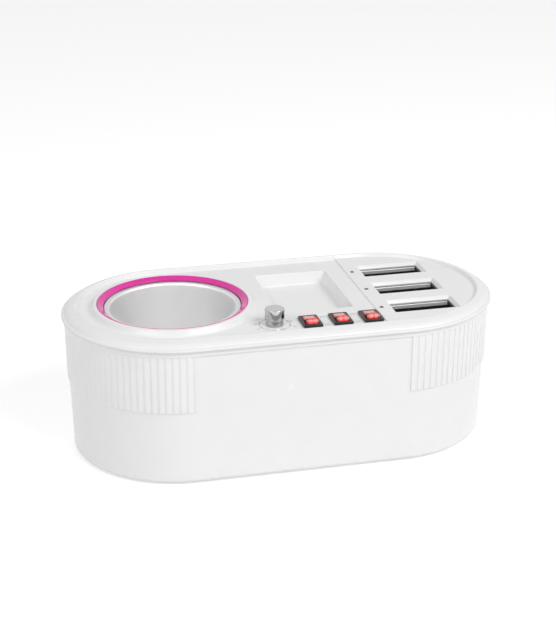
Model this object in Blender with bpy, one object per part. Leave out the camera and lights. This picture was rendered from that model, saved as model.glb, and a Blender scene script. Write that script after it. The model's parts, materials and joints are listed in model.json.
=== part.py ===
"""Wax heater with a lift-out wax pot, three cartridge wells and a tray.

Metres, +Z up. The origin lies on the floor under the middle of the body, +X runs along the
body towards the cartridge wells and -Y is the front, where the switches are.
"""

import math

import bmesh
import bpy
from mathutils import Vector

# Clearances
GAP = 0.0003
OVERRUN = 0.003
SINK = 0.0008

# Room left round the pot and the wells, which set the size of the body
FOOT_HEIGHT = 0.0025
POT_END_OFFSET = 0.00195
POT_RIM_ROOM = 0.011
POT_BASE_ROOM = 0.0331
TRAY_POT_ROOM = 0.0122
TRAY_STEP_ROOM = 0.015
WELL_STEP_ROOM = 0.0123
WELL_END_OFFSET = 0.02265
WELL_RIM_ROOM = 0.0016
WELL_BASE_ROOM = 0.0175

# Facets of round shapes
END_STEPS = 24
POT_STEPS = 36
KNOB_STEPS = 24
SMALL_STEPS = 12
FOOT_STEPS = 24
SCREW_STEPS = 8
CORNER_STEPS = 2

# Housing shell
HOUSING_WALL = 0.0025
SEAM_DROP = 0.0032
SEAM_GAP = 0.0005
BAND_INSET = 0.0015
BAND_HEIGHT = 0.0043
WALL_STEP = 0.001
WALL_DRAFT = 0.0028
BOTTOM_FILLET = 0.003
BOTTOM_FILLET_STEPS = 2
BOTTOM_EDGE = 0.0007
LEDGE_WIDTH = 0.003
LEDGE_THICKNESS = 0.002

# Grip ribs round both ends
RIB_COUNT = 50
RIB_HEIGHT = 0.0453
RIB_DEPTH = 0.0007
RIB_PROUD_TOP = 0.0008
RIB_PROUD_BOTTOM = 0.0013
RIB_ROOT = 0.001
RIB_LAP_DEG = 0.5
RIB_TOP_SHARE = 0.62
RIB_FLANK_SHARE = 0.1

# Top panel
PANEL_WALL = 0.0025
DECK_STEP = 0.001
RIM_RADIUS = 0.009
RIM_TOP = 0.002
RIM_ARC_END_DEG = 74.0
RIM_ARC_STEPS = 4
RIM_CREST = 0.00275
RIM_WIDTH = 0.0105
RIM_SHOULDER_WIDTH = 0.0006
RIM_SHOULDER_DROP = 0.0003
RIM_INNER_SLOPE = 0.0012
RIM_POCKET_DEPTH = 0.0026
TONGUE_WALL = 0.0017

# Wax pot, its chamber and the ring round them
POT_INNER_RADIUS = 0.0489
POT_WALL = 0.0008
POT_DEPTH = 0.078
POT_CORNER = 0.006
POT_CORNER_STEPS = 2
POT_FLANGE_WIDTH = 0.0035
POT_LIP_HEIGHT = 0.0014
POT_LIP_WIDTH = 0.0016
POT_LIP_EDGE = 0.0005
POT_LIP_BEND = 0.002
POT_BEND_SHARES = ((1.0, 0.0), (0.5, 0.2), (0.15, 0.55), (0.0, 1.0))
POT_DROP = 0.0009
POT_CHAMBER_CLEARANCE = 0.0005
CHAMBER_WALL = 0.0013
CHAMBER_FLOOR_CLEARANCE = 0.0008
CHAMBER_FLANGE_MARGIN = 0.0005
CHAMBER_FLANGE_THICKNESS = 0.0015
COLLAR_SEAT_WIDTH = 0.0029
COLLAR_SEAT_RISE = 0.0005
COLLAR_TOP_RISE = 0.0039
COLLAR_TOP_WIDTH = 0.001
COLLAR_WIDTH = 0.0058
COLLAR_SLOPE_SHARES = ((1.0, 0.0), (0.78, 0.12), (0.56, 0.45), (0.36, 0.78), (0.17, 0.95), (0.0, 1.0))
RING_TOP_RISE = 0.0038
RING_EDGE = 0.0003
RING_TOP_WIDTH = 0.0009
RING_INNER_RISE = 0.0015
RING_OVERHANG = 0.0024
RING_POT_CLEARANCE = 0.0004
CHAMBER_SCREW_INSET = 0.0028
CHAMBER_SCREW_COUNT = 3
CHAMBER_SCREW_START_SHARE = 0.25
CHAMBER_PILOT_DEPTH = 0.003

# Heater round the chamber and the cut-out under it
HEATER_BAND_THICKNESS = 0.0015
HEATER_BAND_HEIGHT = 0.036
HEATER_BAND_LIFT = 0.014
HEATER_BAND_OPENING_DEG = 12.0
CUTOUT_RADIUS = 0.008
CUTOUT_THICKNESS = 0.004
CUTOUT_EAR = 0.012
CUTOUT_EAR_THICKNESS = 0.001

# Tray between the pot and the cartridge wells
TRAY_LENGTH = 0.0602
TRAY_WIDTH = 0.0859
TRAY_Y = 0.0102
TRAY_DEPTH = 0.01
TRAY_SLOPE = 0.003
TRAY_CORNER = 0.003

# Cartridge wells
WELL_COUNT = 3
WELL_PITCH = 0.0412
BEZEL_LENGTH = 0.0532
BEZEL_WIDTH = 0.0268
BEZEL_CORNER = 0.0008
FUNNEL_INSET = 0.0021
FUNNEL_DEPTH = 0.0026
FUNNEL_NECK = 0.0016
FUNNEL_WALL = 0.002
SLEEVE_STEP = 0.0003
SLEEVE_WALL = 0.001
SLEEVE_CORNER = 0.0015
SLEEVE_FLANGE_WIDTH = 0.0018
SLEEVE_DEPTH = 0.09
HEATER_LENGTH = 0.035
HEATER_HEIGHT = 0.05
HEATER_THICKNESS = 0.004
HEATER_LIFT = 0.02
CLIP_THICKNESS = 0.0008
CLIP_HEIGHT = 0.02
CLIP_HOOK = 0.008
BRACKET_THICKNESS = 0.0012
BRACKET_SIDE_MARGIN = 0.0025
BRACKET_END_MARGIN = 0.006
BRACKET_POST_RADIUS = 0.0032

# Indicator lamps left of the wells
LED_STEP_ROOM = 0.005
LED_RADIUS = 0.00145
LED_HOLE_CLEARANCE = 0.00025
LED_RISE = 0.0005
LED_FLANGE = 0.0005
LED_DOME_SHARES = ((1.0, 0.5), (0.87, 0.25), (0.5, 0.0))
BOARD_DROP = 0.006
BOARD_THICKNESS = 0.0016
BOARD_WIDTH = 0.008
BOARD_MARGIN = 0.005
BOARD_POST_RADIUS = 0.002
BOARD_PIN_RADIUS = 0.001

# Control strip with three rocker switches
STRIP_DEPTH = 0.0003
STRIP_FRONT_ROOM = 0.0155
STRIP_END_ROOM = 0.0085
STRIP_FRONT_MARGIN = 0.0053
STRIP_BACK_MARGIN = 0.0047
STRIP_STEP_ROOM = 0.0003
STRIP_CORNER = 0.008
SWITCH_COUNT = 3
SWITCH_DIAL_PITCH = 0.0273
SWITCH_PITCH = 0.0238
SWITCH_FRAME_WIDTH = 0.015
SWITCH_FRAME_LENGTH = 0.021
SWITCH_FRAME_HEIGHT = 0.002
SWITCH_FRAME_BEVEL = 0.0006
SWITCH_BODY_WALL = 0.0008
SWITCH_BODY_DEPTH = 0.014
SWITCH_FLOOR = 0.004
SWITCH_BLADE_LENGTH = 0.006
SWITCH_BLADE_WIDTH = 0.0048
SWITCH_BLADE_THICKNESS = 0.0008
SWITCH_BLADE_PITCH = 0.006
ROCKER_WIDTH = 0.0104
ROCKER_HALF_LENGTH = 0.0072
ROCKER_END_HEIGHT = 0.0047
ROCKER_MIDDLE_HEIGHT = 0.0032
ROCKER_DEPTH = 0.003
ROCKER_CLEARANCE = 0.0004
ROCKER_PIVOT_DROP = 0.0029
ROCKER_TILT_DEG = -12.0
ROCKER_PIN_RADIUS = 0.001
ROCKER_PIN_LENGTH = 0.0007

# Thermostat and its knob
DIAL_STRIP_ROOM = 0.0206
DIAL_FRONT_ROOM = 0.0186
KNOB_HEIGHT = 0.0132
KNOB_RADIUS = 0.00755
KNOB_WAIST_RADIUS = 0.0064
KNOB_SKIRT_RADIUS = 0.0068
KNOB_WAIST_RISE = 0.0048
KNOB_SKIRT_HEIGHT = 0.0006
KNOB_EDGE = 0.0005
KNOB_LIFT = 0.0005
KNOB_HOLLOW_RADIUS = 0.0061
KNOB_HOLLOW_DEPTH = 0.0037
KNOB_ROOF = 0.0016
SHAFT_RADIUS = 0.003
SHAFT_FLAT = 0.0021
SHAFT_CLEARANCE = 0.0003
BUSHING_WALL = 0.0012
BUSHING_RISE = 0.003
NUT_RADIUS = 0.0056
NUT_HEIGHT = 0.0019
NUT_SIDES = 6
THERMOSTAT_SIZE = 0.026
THERMOSTAT_HEIGHT = 0.014
THERMOSTAT_BORE_DEPTH = 0.008

# Screws
SCREW_RADIUS = 0.0014
SCREW_HEAD_RADIUS = 0.0027
SCREW_HEAD_HEIGHT = 0.0016
SCREW_HOLE_CLEARANCE = 0.0003
SCREW_LENGTH = 0.01
SHORT_SCREW_LENGTH = 0.006
SCREW_HEAD_SHARES = ((0.55, 1.0), (0.9, 0.7), (1.0, 0.35))

# Screw bosses of the housing
BASE_BOSS_X = 0.07
BASE_BOSS_INSET = 0.016
BASE_BOSS_RADIUS = 0.0045
BASE_BOSS_HEIGHT = 0.02
BOSS_WEB = 0.0025
LID_POST_X = 0.045
LID_POST_INSET = 0.0125
LID_POST_RADIUS = 0.004
LID_POST_LENGTH = 0.0145
LUG_HALF_WIDTH = 0.005
LUG_REACH = 0.006
LUG_THICKNESS = 0.004

# Base plate and feet
BASE_THICKNESS = 0.0025
BASE_RECESS = 0.0005
VENT_COUNT = 6
VENT_PITCH = 0.009
VENT_WIDTH = 0.003
VENT_LENGTH = 0.036
VENT_Y = -0.03
FOOT_X = 0.11
FOOT_Y = 0.05
FOOT_RADIUS = 0.007
FOOT_TAPER = 0.0006

# Mains inlet at the back
INLET_X = 0.0
INLET_RISE = 0.0315
INLET_FLANGE_LENGTH = 0.0305
INLET_FLANGE_HEIGHT = 0.023
INLET_FLANGE_THICKNESS = 0.0018
INLET_BODY_LENGTH = 0.027
INLET_BODY_HEIGHT = 0.02
INLET_BODY_DEPTH = 0.021
INLET_SOCKET_LENGTH = 0.0242
INLET_SOCKET_HEIGHT = 0.0165
INLET_SOCKET_CHAMFER = 0.0045
INLET_SOCKET_DEPTH = 0.0175
PIN_THICKNESS = 0.002
PIN_HEIGHT = 0.004
PIN_REACH = 0.0115
PIN_TAIL = 0.007
PIN_PITCH = 0.007
PIN_EARTH_RISE = 0.0015
PIN_CLEARANCE = 0.0003

# Terminal block and wiring
TERMINAL_X = 0.018
TERMINAL_Y = 0.03
TERMINAL_LENGTH = 0.04
TERMINAL_WIDTH = 0.018
TERMINAL_HEIGHT = 0.013
TERMINAL_WELLS = 4
TERMINAL_WELL_RADIUS = 0.0028
TERMINAL_WELL_DEPTH = 0.008
WIRE_RADIUS = 0.001
WIRE_POINTS = 19
WIRE_BEND = 0.006
WIRE_RUN = 0.024

# Heights and places that follow from the sizes above
POT_OUTER_RADIUS = POT_INNER_RADIUS + POT_WALL
POT_FLANGE_RADIUS = POT_OUTER_RADIUS + POT_FLANGE_WIDTH
RING_INNER_RADIUS = POT_FLANGE_RADIUS + RING_POT_CLEARANCE
COLLAR_HOLE_RADIUS = RING_INNER_RADIUS + RING_OVERHANG
COLLAR_SEAT_RADIUS = COLLAR_HOLE_RADIUS + COLLAR_SEAT_WIDTH
COLLAR_OUTER_RADIUS = COLLAR_SEAT_RADIUS + COLLAR_WIDTH
CHAMBER_FLANGE_RADIUS = COLLAR_OUTER_RADIUS - CHAMBER_FLANGE_MARGIN
CHAMBER_SCREW_RADIUS = CHAMBER_FLANGE_RADIUS - CHAMBER_SCREW_INSET
RIM_FOOT = RIM_WIDTH + RIM_SHOULDER_WIDTH + RIM_INNER_SLOPE
WELL_REACH = math.hypot(WELL_END_OFFSET + BEZEL_LENGTH / 2,
                        WELL_PITCH * (WELL_COUNT - 1) / 2 + BEZEL_WIDTH / 2)
END_RADIUS = RIM_FOOT + max(COLLAR_OUTER_RADIUS + POT_RIM_ROOM, WELL_REACH + WELL_RIM_ROOM)
END_X = (COLLAR_OUTER_RADIUS - POT_END_OFFSET + TRAY_POT_ROOM + TRAY_LENGTH + TRAY_STEP_ROOM
         + WELL_STEP_ROOM + BEZEL_LENGTH / 2 - WELL_END_OFFSET) / 2
BODY_HEIGHT = max(POT_DROP + POT_DEPTH + POT_BASE_ROOM,
                  FUNNEL_DEPTH + FUNNEL_NECK + GAP + SLEEVE_DEPTH + WELL_BASE_ROOM)
POT_X = -END_X - POT_END_OFFSET
TRAY_X = POT_X + COLLAR_OUTER_RADIUS + TRAY_POT_ROOM + TRAY_LENGTH / 2
STEP_X = TRAY_X + TRAY_LENGTH / 2 + TRAY_STEP_ROOM
LED_X = STEP_X + LED_STEP_ROOM
WELL_X = STEP_X + WELL_STEP_ROOM + BEZEL_LENGTH / 2
STRIP_LENGTH = DIAL_STRIP_ROOM + SWITCH_DIAL_PITCH + (SWITCH_COUNT - 1) * SWITCH_PITCH + STRIP_END_ROOM
STRIP_WIDTH = STRIP_FRONT_MARGIN + SWITCH_FRAME_LENGTH + STRIP_BACK_MARGIN
STRIP_LEFT = STEP_X - STRIP_LENGTH
STRIP_FRONT = STRIP_FRONT_ROOM - END_RADIUS
STRIP_BACK = STRIP_FRONT + STRIP_WIDTH
DIAL_X = STRIP_LEFT + DIAL_STRIP_ROOM
SWITCH_X = DIAL_X + SWITCH_DIAL_PITCH
SWITCH_Y = STRIP_FRONT + STRIP_FRONT_MARGIN + SWITCH_FRAME_LENGTH / 2
DIAL_Y = STRIP_FRONT + DIAL_FRONT_ROOM
DECK = FOOT_HEIGHT + BODY_HEIGHT
MAIN_DECK = DECK - DECK_STEP
PANEL_UNDERSIDE = MAIN_DECK - PANEL_WALL
STRIP_DECK = MAIN_DECK - STRIP_DEPTH
SEAM = DECK - SEAM_DROP
HOUSING_TOP = SEAM - SEAM_GAP
BAND_BOTTOM = HOUSING_TOP - BAND_HEIGHT
HOUSING_BOTTOM = FOOT_HEIGHT
BASE_UNDERSIDE = HOUSING_BOTTOM + BASE_RECESS
BASE_TOP = BASE_UNDERSIDE + BASE_THICKNESS
LEDGE_BOTTOM = BASE_TOP + GAP
LEDGE_TOP = LEDGE_BOTTOM + LEDGE_THICKNESS
CHAMBER_INNER_RADIUS = POT_OUTER_RADIUS + POT_CHAMBER_CLEARANCE
CHAMBER_OUTER_RADIUS = CHAMBER_INNER_RADIUS + CHAMBER_WALL
POT_FLANGE_TOP = DECK - POT_DROP
POT_FLANGE_UNDERSIDE = POT_FLANGE_TOP - POT_WALL
POT_FLOOR = POT_FLANGE_TOP - POT_DEPTH
CHAMBER_TOP = POT_FLANGE_UNDERSIDE - GAP
CHAMBER_FLOOR = POT_FLOOR - POT_WALL - CHAMBER_FLOOR_CLEARANCE
CHAMBER_UNDERSIDE = CHAMBER_FLOOR - CHAMBER_WALL
CHAMBER_FLANGE_TOP = PANEL_UNDERSIDE - GAP
CHAMBER_FLANGE_UNDERSIDE = CHAMBER_FLANGE_TOP - CHAMBER_FLANGE_THICKNESS
HEATER_BAND_INNER = CHAMBER_OUTER_RADIUS + GAP
HEATER_BAND_OUTER = HEATER_BAND_INNER + HEATER_BAND_THICKNESS
HEATER_BAND_BOTTOM = CHAMBER_UNDERSIDE + HEATER_BAND_LIFT
OPENING_LENGTH = BEZEL_LENGTH - 2 * FUNNEL_INSET
OPENING_WIDTH = BEZEL_WIDTH - 2 * FUNNEL_INSET
FUNNEL_UNDERSIDE = DECK - FUNNEL_DEPTH - FUNNEL_NECK
SLEEVE_INNER_LENGTH = OPENING_LENGTH - 2 * SLEEVE_STEP
SLEEVE_INNER_WIDTH = OPENING_WIDTH - 2 * SLEEVE_STEP
SLEEVE_LENGTH = SLEEVE_INNER_LENGTH + 2 * SLEEVE_WALL
SLEEVE_WIDTH = SLEEVE_INNER_WIDTH + 2 * SLEEVE_WALL
SLEEVE_TOP = FUNNEL_UNDERSIDE - GAP
SLEEVE_FLANGE_UNDERSIDE = SLEEVE_TOP - SLEEVE_WALL
SLEEVE_UNDERSIDE = SLEEVE_TOP - SLEEVE_DEPTH
BRACKET_TOP = SLEEVE_FLANGE_UNDERSIDE - GAP
BRACKET_UNDERSIDE = BRACKET_TOP - BRACKET_THICKNESS
BOARD_TOP = DECK - BOARD_DROP
SWITCH_TOP = STRIP_DECK + GAP + SWITCH_FRAME_HEIGHT
SWITCH_UNDERSIDE = STRIP_DECK - SWITCH_BODY_DEPTH
ROCKER_PIVOT = SWITCH_TOP - ROCKER_PIVOT_DROP
ROCKER_SWEEP = math.hypot(ROCKER_HALF_LENGTH, ROCKER_END_HEIGHT)
SWITCH_OPENING_WIDTH = ROCKER_WIDTH + 2 * GAP
SWITCH_OPENING_LENGTH = 2 * (ROCKER_SWEEP + ROCKER_CLEARANCE)
SWITCH_BODY_WIDTH = SWITCH_OPENING_WIDTH + 2 * SWITCH_BODY_WALL
SWITCH_BODY_LENGTH = SWITCH_OPENING_LENGTH + 2 * SWITCH_BODY_WALL
BUSHING_INNER = SHAFT_RADIUS + SHAFT_CLEARANCE
BUSHING_OUTER = BUSHING_INNER + BUSHING_WALL
THERMOSTAT_TOP = PANEL_UNDERSIDE - GAP
SCREW_HOLE_RADIUS = SCREW_RADIUS + SCREW_HOLE_CLEARANCE
LID_POST_Y = END_RADIUS - LID_POST_INSET
LID_POST_BOTTOM = PANEL_UNDERSIDE - LID_POST_LENGTH
LUG_TOP = LID_POST_BOTTOM - GAP
LUG_UNDERSIDE = LUG_TOP - LUG_THICKNESS
BASE_BOSS_Y = END_RADIUS - BASE_BOSS_INSET
INLET_Z = HOUSING_BOTTOM + INLET_RISE


def material(name, colour, roughness, metallic=0.0):
    made = bpy.data.materials.new(name)
    made.use_nodes = True
    shader = made.node_tree.nodes["Principled BSDF"]
    shader.inputs["Base Color"].default_value = (*colour, 1.0)
    shader.inputs["Roughness"].default_value = roughness
    shader.inputs["Metallic"].default_value = metallic
    return made


def new_solid(vertices, faces):
    """A loose object from points and faces, with its faces turned outwards."""
    bm = bmesh.new()
    made = [bm.verts.new(v) for v in vertices]
    for face in faces:
        bm.faces.new([made[i] for i in face])
    bmesh.ops.recalc_face_normals(bm, faces=bm.faces)
    mesh = bpy.data.meshes.new("shape")
    bm.to_mesh(mesh)
    bm.free()
    shape = bpy.data.objects.new("shape", mesh)
    bpy.context.scene.collection.objects.link(shape)
    return shape


def loft(rings, closed=False):
    """A skin through rings of equally many points: capped at both ends, or closed on itself."""
    count = len(rings[0])
    vertices = [point for ring in rings for point in ring]
    faces = []
    spans = len(rings) if closed else len(rings) - 1
    for i in range(spans):
        low = i * count
        high = ((i + 1) % len(rings)) * count
        for j in range(count):
            k = (j + 1) % count
            faces.append((low + j, low + k, high + k, high + j))
    if not closed:
        faces.append(tuple(range(count)))
        faces.append(tuple(range(len(vertices) - count, len(vertices))))
    return new_solid(vertices, faces)


def circle(radius, z, centre=(0.0, 0.0), steps=SMALL_STEPS):
    turn = 2 * math.pi / steps
    return [(centre[0] + radius * math.cos(turn * i), centre[1] + radius * math.sin(turn * i), z)
            for i in range(steps)]


def turned(profile, centre=(0.0, 0.0), steps=SMALL_STEPS, closed=False):
    """A turned shape about a vertical axis, from (radius, height) pairs."""
    return loft([circle(radius, z, centre, steps) for radius, z in profile], closed)


def stadium(inset, z):
    """The body's outline, drawn in by an inset: two half circles joined by straight sides."""
    radius = END_RADIUS - inset
    points = []
    for side in (1, -1):
        for i in range(END_STEPS + 1):
            angle = side * math.pi / 2 * (2 * i / END_STEPS - 1)
            x = END_X + radius * math.cos(angle)
            points.append((side * x, radius * math.sin(angle), z))
    return points


def rounded_rectangle(length, width, corner, z, centre=(0.0, 0.0), steps=CORNER_STEPS):
    points = []
    for quadrant, (sx, sy) in enumerate(((1, 1), (-1, 1), (-1, -1), (1, -1))):
        for i in range(steps + 1):
            angle = math.pi / 2 * (quadrant + i / steps)
            x = centre[0] + sx * (length / 2 - corner) + corner * math.cos(angle)
            y = centre[1] + sy * (width / 2 - corner) + corner * math.sin(angle)
            points.append((x, y, z))
    return points


def prism(outline, low, high):
    """An outline of (x, y) pairs raised from one height to another."""
    return loft([[(x, y, low) for x, y in outline], [(x, y, high) for x, y in outline]])


def block(low, high):
    outline = ((low[0], low[1]), (high[0], low[1]), (high[0], high[1]), (low[0], high[1]))
    return prism(outline, low[2], high[2])


def centred_block(centre, size):
    low = [c - s / 2 for c, s in zip(centre, size)]
    high = [c + s / 2 for c, s in zip(centre, size)]
    return block(low, high)


def gather(shapes):
    """Loose shapes that don't touch, as one mesh, to join or cut in one go."""
    bm = bmesh.new()
    for shape in shapes:
        bm.from_mesh(shape.data)
        bpy.data.objects.remove(shape)
    mesh = bpy.data.meshes.new("shapes")
    bm.to_mesh(mesh)
    bm.free()
    together = bpy.data.objects.new("shapes", mesh)
    bpy.context.scene.collection.objects.link(together)
    return together


def combine(target, tools, operation):
    tool = gather(tools)
    change = target.modifiers.new("change", "BOOLEAN")
    change.operation = operation
    change.object = tool
    bpy.context.view_layer.update()
    seen = target.evaluated_get(bpy.context.evaluated_depsgraph_get())
    mesh = bpy.data.meshes.new_from_object(seen)
    target.modifiers.clear()
    target.data = mesh
    bpy.data.objects.remove(tool)
    return target


def join(target, *tools):
    return combine(target, tools, "UNION")


def cut(target, *tools):
    return combine(target, tools, "DIFFERENCE")


def place(shape, name, finish, origin=(0.0, 0.0, 0.0), sharp_deg=35.0):
    """Names a finished piece, gives it its material and puts its origin on its axis or seat."""
    shape.name = name
    shape.data.name = name
    shape.data.materials.clear()
    shape.data.materials.append(finish)
    for vertex in shape.data.vertices:
        vertex.co -= Vector(origin)
    shape.location = origin
    shape.data.shade_smooth()
    shape.data.set_sharp_from_angle(angle=math.radians(sharp_deg))
    return shape


def wall_inset(z):
    """How far the housing's outer wall lies inside the body's outline at a height."""
    share = (BAND_BOTTOM - z) / (BAND_BOTTOM - HOUSING_BOTTOM)
    return BAND_INSET + WALL_STEP + WALL_DRAFT * share


def signs():
    return [(sx, sy) for sy in (-1, 1) for sx in (-1, 1)]


def well_y(index):
    return (index - (WELL_COUNT - 1) / 2) * -WELL_PITCH


def switch_x(index):
    return SWITCH_X + index * SWITCH_PITCH


def chamber_screw_places():
    for i in range(CHAMBER_SCREW_COUNT):
        angle = 2 * math.pi * (i + CHAMBER_SCREW_START_SHARE) / CHAMBER_SCREW_COUNT
        yield POT_X + CHAMBER_SCREW_RADIUS * math.cos(angle), CHAMBER_SCREW_RADIUS * math.sin(angle)


def screw(name, x, y, seat, length):
    """A pan-head screw that goes up from its head, whose top face bears GAP under a seat."""
    under = seat - GAP
    low = under - SCREW_HEAD_HEIGHT
    profile = [(SCREW_HEAD_RADIUS * r, under - SCREW_HEAD_HEIGHT * h) for r, h in SCREW_HEAD_SHARES]
    profile += [(SCREW_HEAD_RADIUS, under), (SCREW_RADIUS, under), (SCREW_RADIUS, low + length)]
    return place(turned(profile, (x, y), SCREW_STEPS), name, STEEL, (x, y, seat))


def rib_patch(side):
    """The ribbed grip round one end: a comb outline that follows the drafted wall."""
    lap = math.radians(RIB_LAP_DEG)
    pitch = (math.pi + 2 * lap) / RIB_COUNT
    corners = ((0.0, 0.0), (RIB_TOP_SHARE, 0.0), (RIB_TOP_SHARE + RIB_FLANK_SHARE, RIB_DEPTH),
               (1 - RIB_FLANK_SHARE, RIB_DEPTH))
    comb = [((i + share) * pitch, depth) for i in range(RIB_COUNT - 1) for share, depth in corners]
    comb += [((RIB_COUNT - 1) * pitch, 0.0), (RIB_COUNT * pitch, 0.0)]
    comb = [(angle - lap, depth) for angle, depth in comb]
    rings = []
    bottom = BAND_BOTTOM - RIB_HEIGHT
    for z, proud in ((bottom, RIB_PROUD_BOTTOM), (BAND_BOTTOM + SINK, RIB_PROUD_TOP)):
        face = END_RADIUS - wall_inset(z) + proud
        root = END_RADIUS - wall_inset(z) - RIB_ROOT
        outline = [(angle, face - depth) for angle, depth in comb]
        outline += [(angle, root) for angle, depth in reversed(comb)]
        rings.append([(side * (END_X + r * math.sin(a)), -r * math.cos(a), z) for a, r in outline])
    return loft(rings)


def inlet_face_y():
    """The plane that the inlet's flange lies on, just off the back wall at the flange's top."""
    return END_RADIUS - wall_inset(INLET_Z + INLET_FLANGE_HEIGHT / 2) + GAP


def make_housing():
    fillet_inset = wall_inset(HOUSING_BOTTOM) + BOTTOM_FILLET
    fillet_z = HOUSING_BOTTOM + BOTTOM_FILLET
    profile = []
    for i in range(BOTTOM_FILLET_STEPS + 1):
        angle = math.pi / 2 * i / BOTTOM_FILLET_STEPS
        inset = fillet_inset - BOTTOM_FILLET * math.sin(angle)
        profile.append((inset, fillet_z - BOTTOM_FILLET * math.cos(angle)))
    recess = fillet_inset + BOTTOM_EDGE
    profile += [
        (wall_inset(BAND_BOTTOM), BAND_BOTTOM),
        (BAND_INSET, BAND_BOTTOM),
        (BAND_INSET, HOUSING_TOP),
        (BAND_INSET + HOUSING_WALL, HOUSING_TOP),
        (BAND_INSET + HOUSING_WALL, BAND_BOTTOM),
        (wall_inset(BAND_BOTTOM) + HOUSING_WALL, BAND_BOTTOM - WALL_STEP),
        (wall_inset(LEDGE_TOP) + HOUSING_WALL, LEDGE_TOP),
        (recess + LEDGE_WIDTH, LEDGE_TOP),
        (recess + LEDGE_WIDTH, LEDGE_BOTTOM),
        (recess, LEDGE_BOTTOM),
        (recess, HOUSING_BOTTOM),
    ]
    shell = loft([stadium(inset, z) for inset, z in profile], closed=True)
    join(shell, rib_patch(1), rib_patch(-1))
    webs = []
    bosses = []
    lugs = []
    holes = []
    for sx, sy in signs():
        x = sx * BASE_BOSS_X
        y = sy * BASE_BOSS_Y
        top = LEDGE_BOTTOM + BASE_BOSS_HEIGHT
        wall_y = sy * (END_RADIUS - wall_inset(LEDGE_BOTTOM) - SINK)
        webs.append(block((x - BOSS_WEB / 2, min(y, wall_y), LEDGE_BOTTOM),
                          (x + BOSS_WEB / 2, max(y, wall_y), top - SINK)))
        bosses.append(turned(((BASE_BOSS_RADIUS, LEDGE_BOTTOM), (BASE_BOSS_RADIUS, top)), (x, y)))
        holes.append(turned(((SCREW_HOLE_RADIUS, LEDGE_BOTTOM - OVERRUN),
                             (SCREW_HOLE_RADIUS, LEDGE_BOTTOM + SCREW_LENGTH)), (x, y), SCREW_STEPS))
        x = sx * LID_POST_X
        y = sy * LID_POST_Y
        wall_y = sy * (END_RADIUS - wall_inset(LUG_UNDERSIDE) - SINK)
        inner_y = y - sy * LUG_REACH
        lugs.append(block((x - LUG_HALF_WIDTH, min(inner_y, wall_y), LUG_UNDERSIDE),
                          (x + LUG_HALF_WIDTH, max(inner_y, wall_y), LUG_TOP)))
        holes.append(turned(((SCREW_HOLE_RADIUS, LUG_UNDERSIDE - OVERRUN),
                             (SCREW_HOLE_RADIUS, LUG_TOP + OVERRUN)), (x, y), SCREW_STEPS))
    join(shell, *webs)
    join(shell, *bosses, *lugs)
    window = (INLET_BODY_LENGTH + 2 * GAP, 2 * INLET_BODY_DEPTH, INLET_BODY_HEIGHT + 2 * GAP)
    cut(shell, *holes, centred_block((INLET_X, inlet_face_y(), INLET_Z), window))
    return place(shell, "housing_shell", WHITE_ABS)


def rim_profile():
    """The panel's section from its underside round the tongue, over the rim and down to the deck."""
    tongue = BAND_INSET + HOUSING_WALL + GAP
    tongue_bottom = BAND_BOTTOM + GAP
    profile = [
        (RIM_WIDTH + RIM_INNER_SLOPE, PANEL_UNDERSIDE),
        (RIM_WIDTH, DECK + RIM_CREST - RIM_POCKET_DEPTH),
        (tongue + TONGUE_WALL, DECK + RIM_TOP - RIM_POCKET_DEPTH),
        (tongue + TONGUE_WALL, tongue_bottom),
        (tongue, tongue_bottom),
        (tongue, SEAM),
    ]
    centre = DECK + RIM_TOP - RIM_RADIUS
    start = math.asin((SEAM - centre) / RIM_RADIUS)
    end = math.radians(RIM_ARC_END_DEG)
    for i in range(RIM_ARC_STEPS + 1):
        angle = start + (end - start) * i / RIM_ARC_STEPS
        profile.append((RIM_RADIUS * (1 - math.cos(angle)), centre + RIM_RADIUS * math.sin(angle)))
    profile += [
        (RIM_WIDTH, DECK + RIM_CREST),
        (RIM_WIDTH + RIM_SHOULDER_WIDTH, DECK + RIM_CREST - RIM_SHOULDER_DROP),
        (RIM_WIDTH + RIM_SHOULDER_WIDTH + RIM_INNER_SLOPE, MAIN_DECK),
    ]
    return profile


def cartridge_deck():
    """The raised half of the deck: the inside of the rim, right of the step."""
    inset = RIM_WIDTH + RIM_SHOULDER_WIDTH
    half = END_RADIUS - inset
    arc = [(x, y) for x, y, z in stadium(inset, DECK) if x > STEP_X]
    outline = [(STEP_X, -half)] + arc + [(STEP_X, half)]
    return prism(outline, MAIN_DECK - SINK, DECK)


def tray_rings(offset, low, high):
    """Three outlines of the tray, from its floor to its mouth and straight up above it."""
    slope = 2 * TRAY_SLOPE
    length = TRAY_LENGTH + 2 * offset
    width = TRAY_WIDTH + 2 * offset
    corner = TRAY_CORNER + offset
    centre = (TRAY_X, TRAY_Y)
    return [rounded_rectangle(length - slope, width - slope, corner, low, centre),
            rounded_rectangle(length, width, corner, MAIN_DECK, centre),
            rounded_rectangle(length, width, corner, high, centre)]


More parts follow.
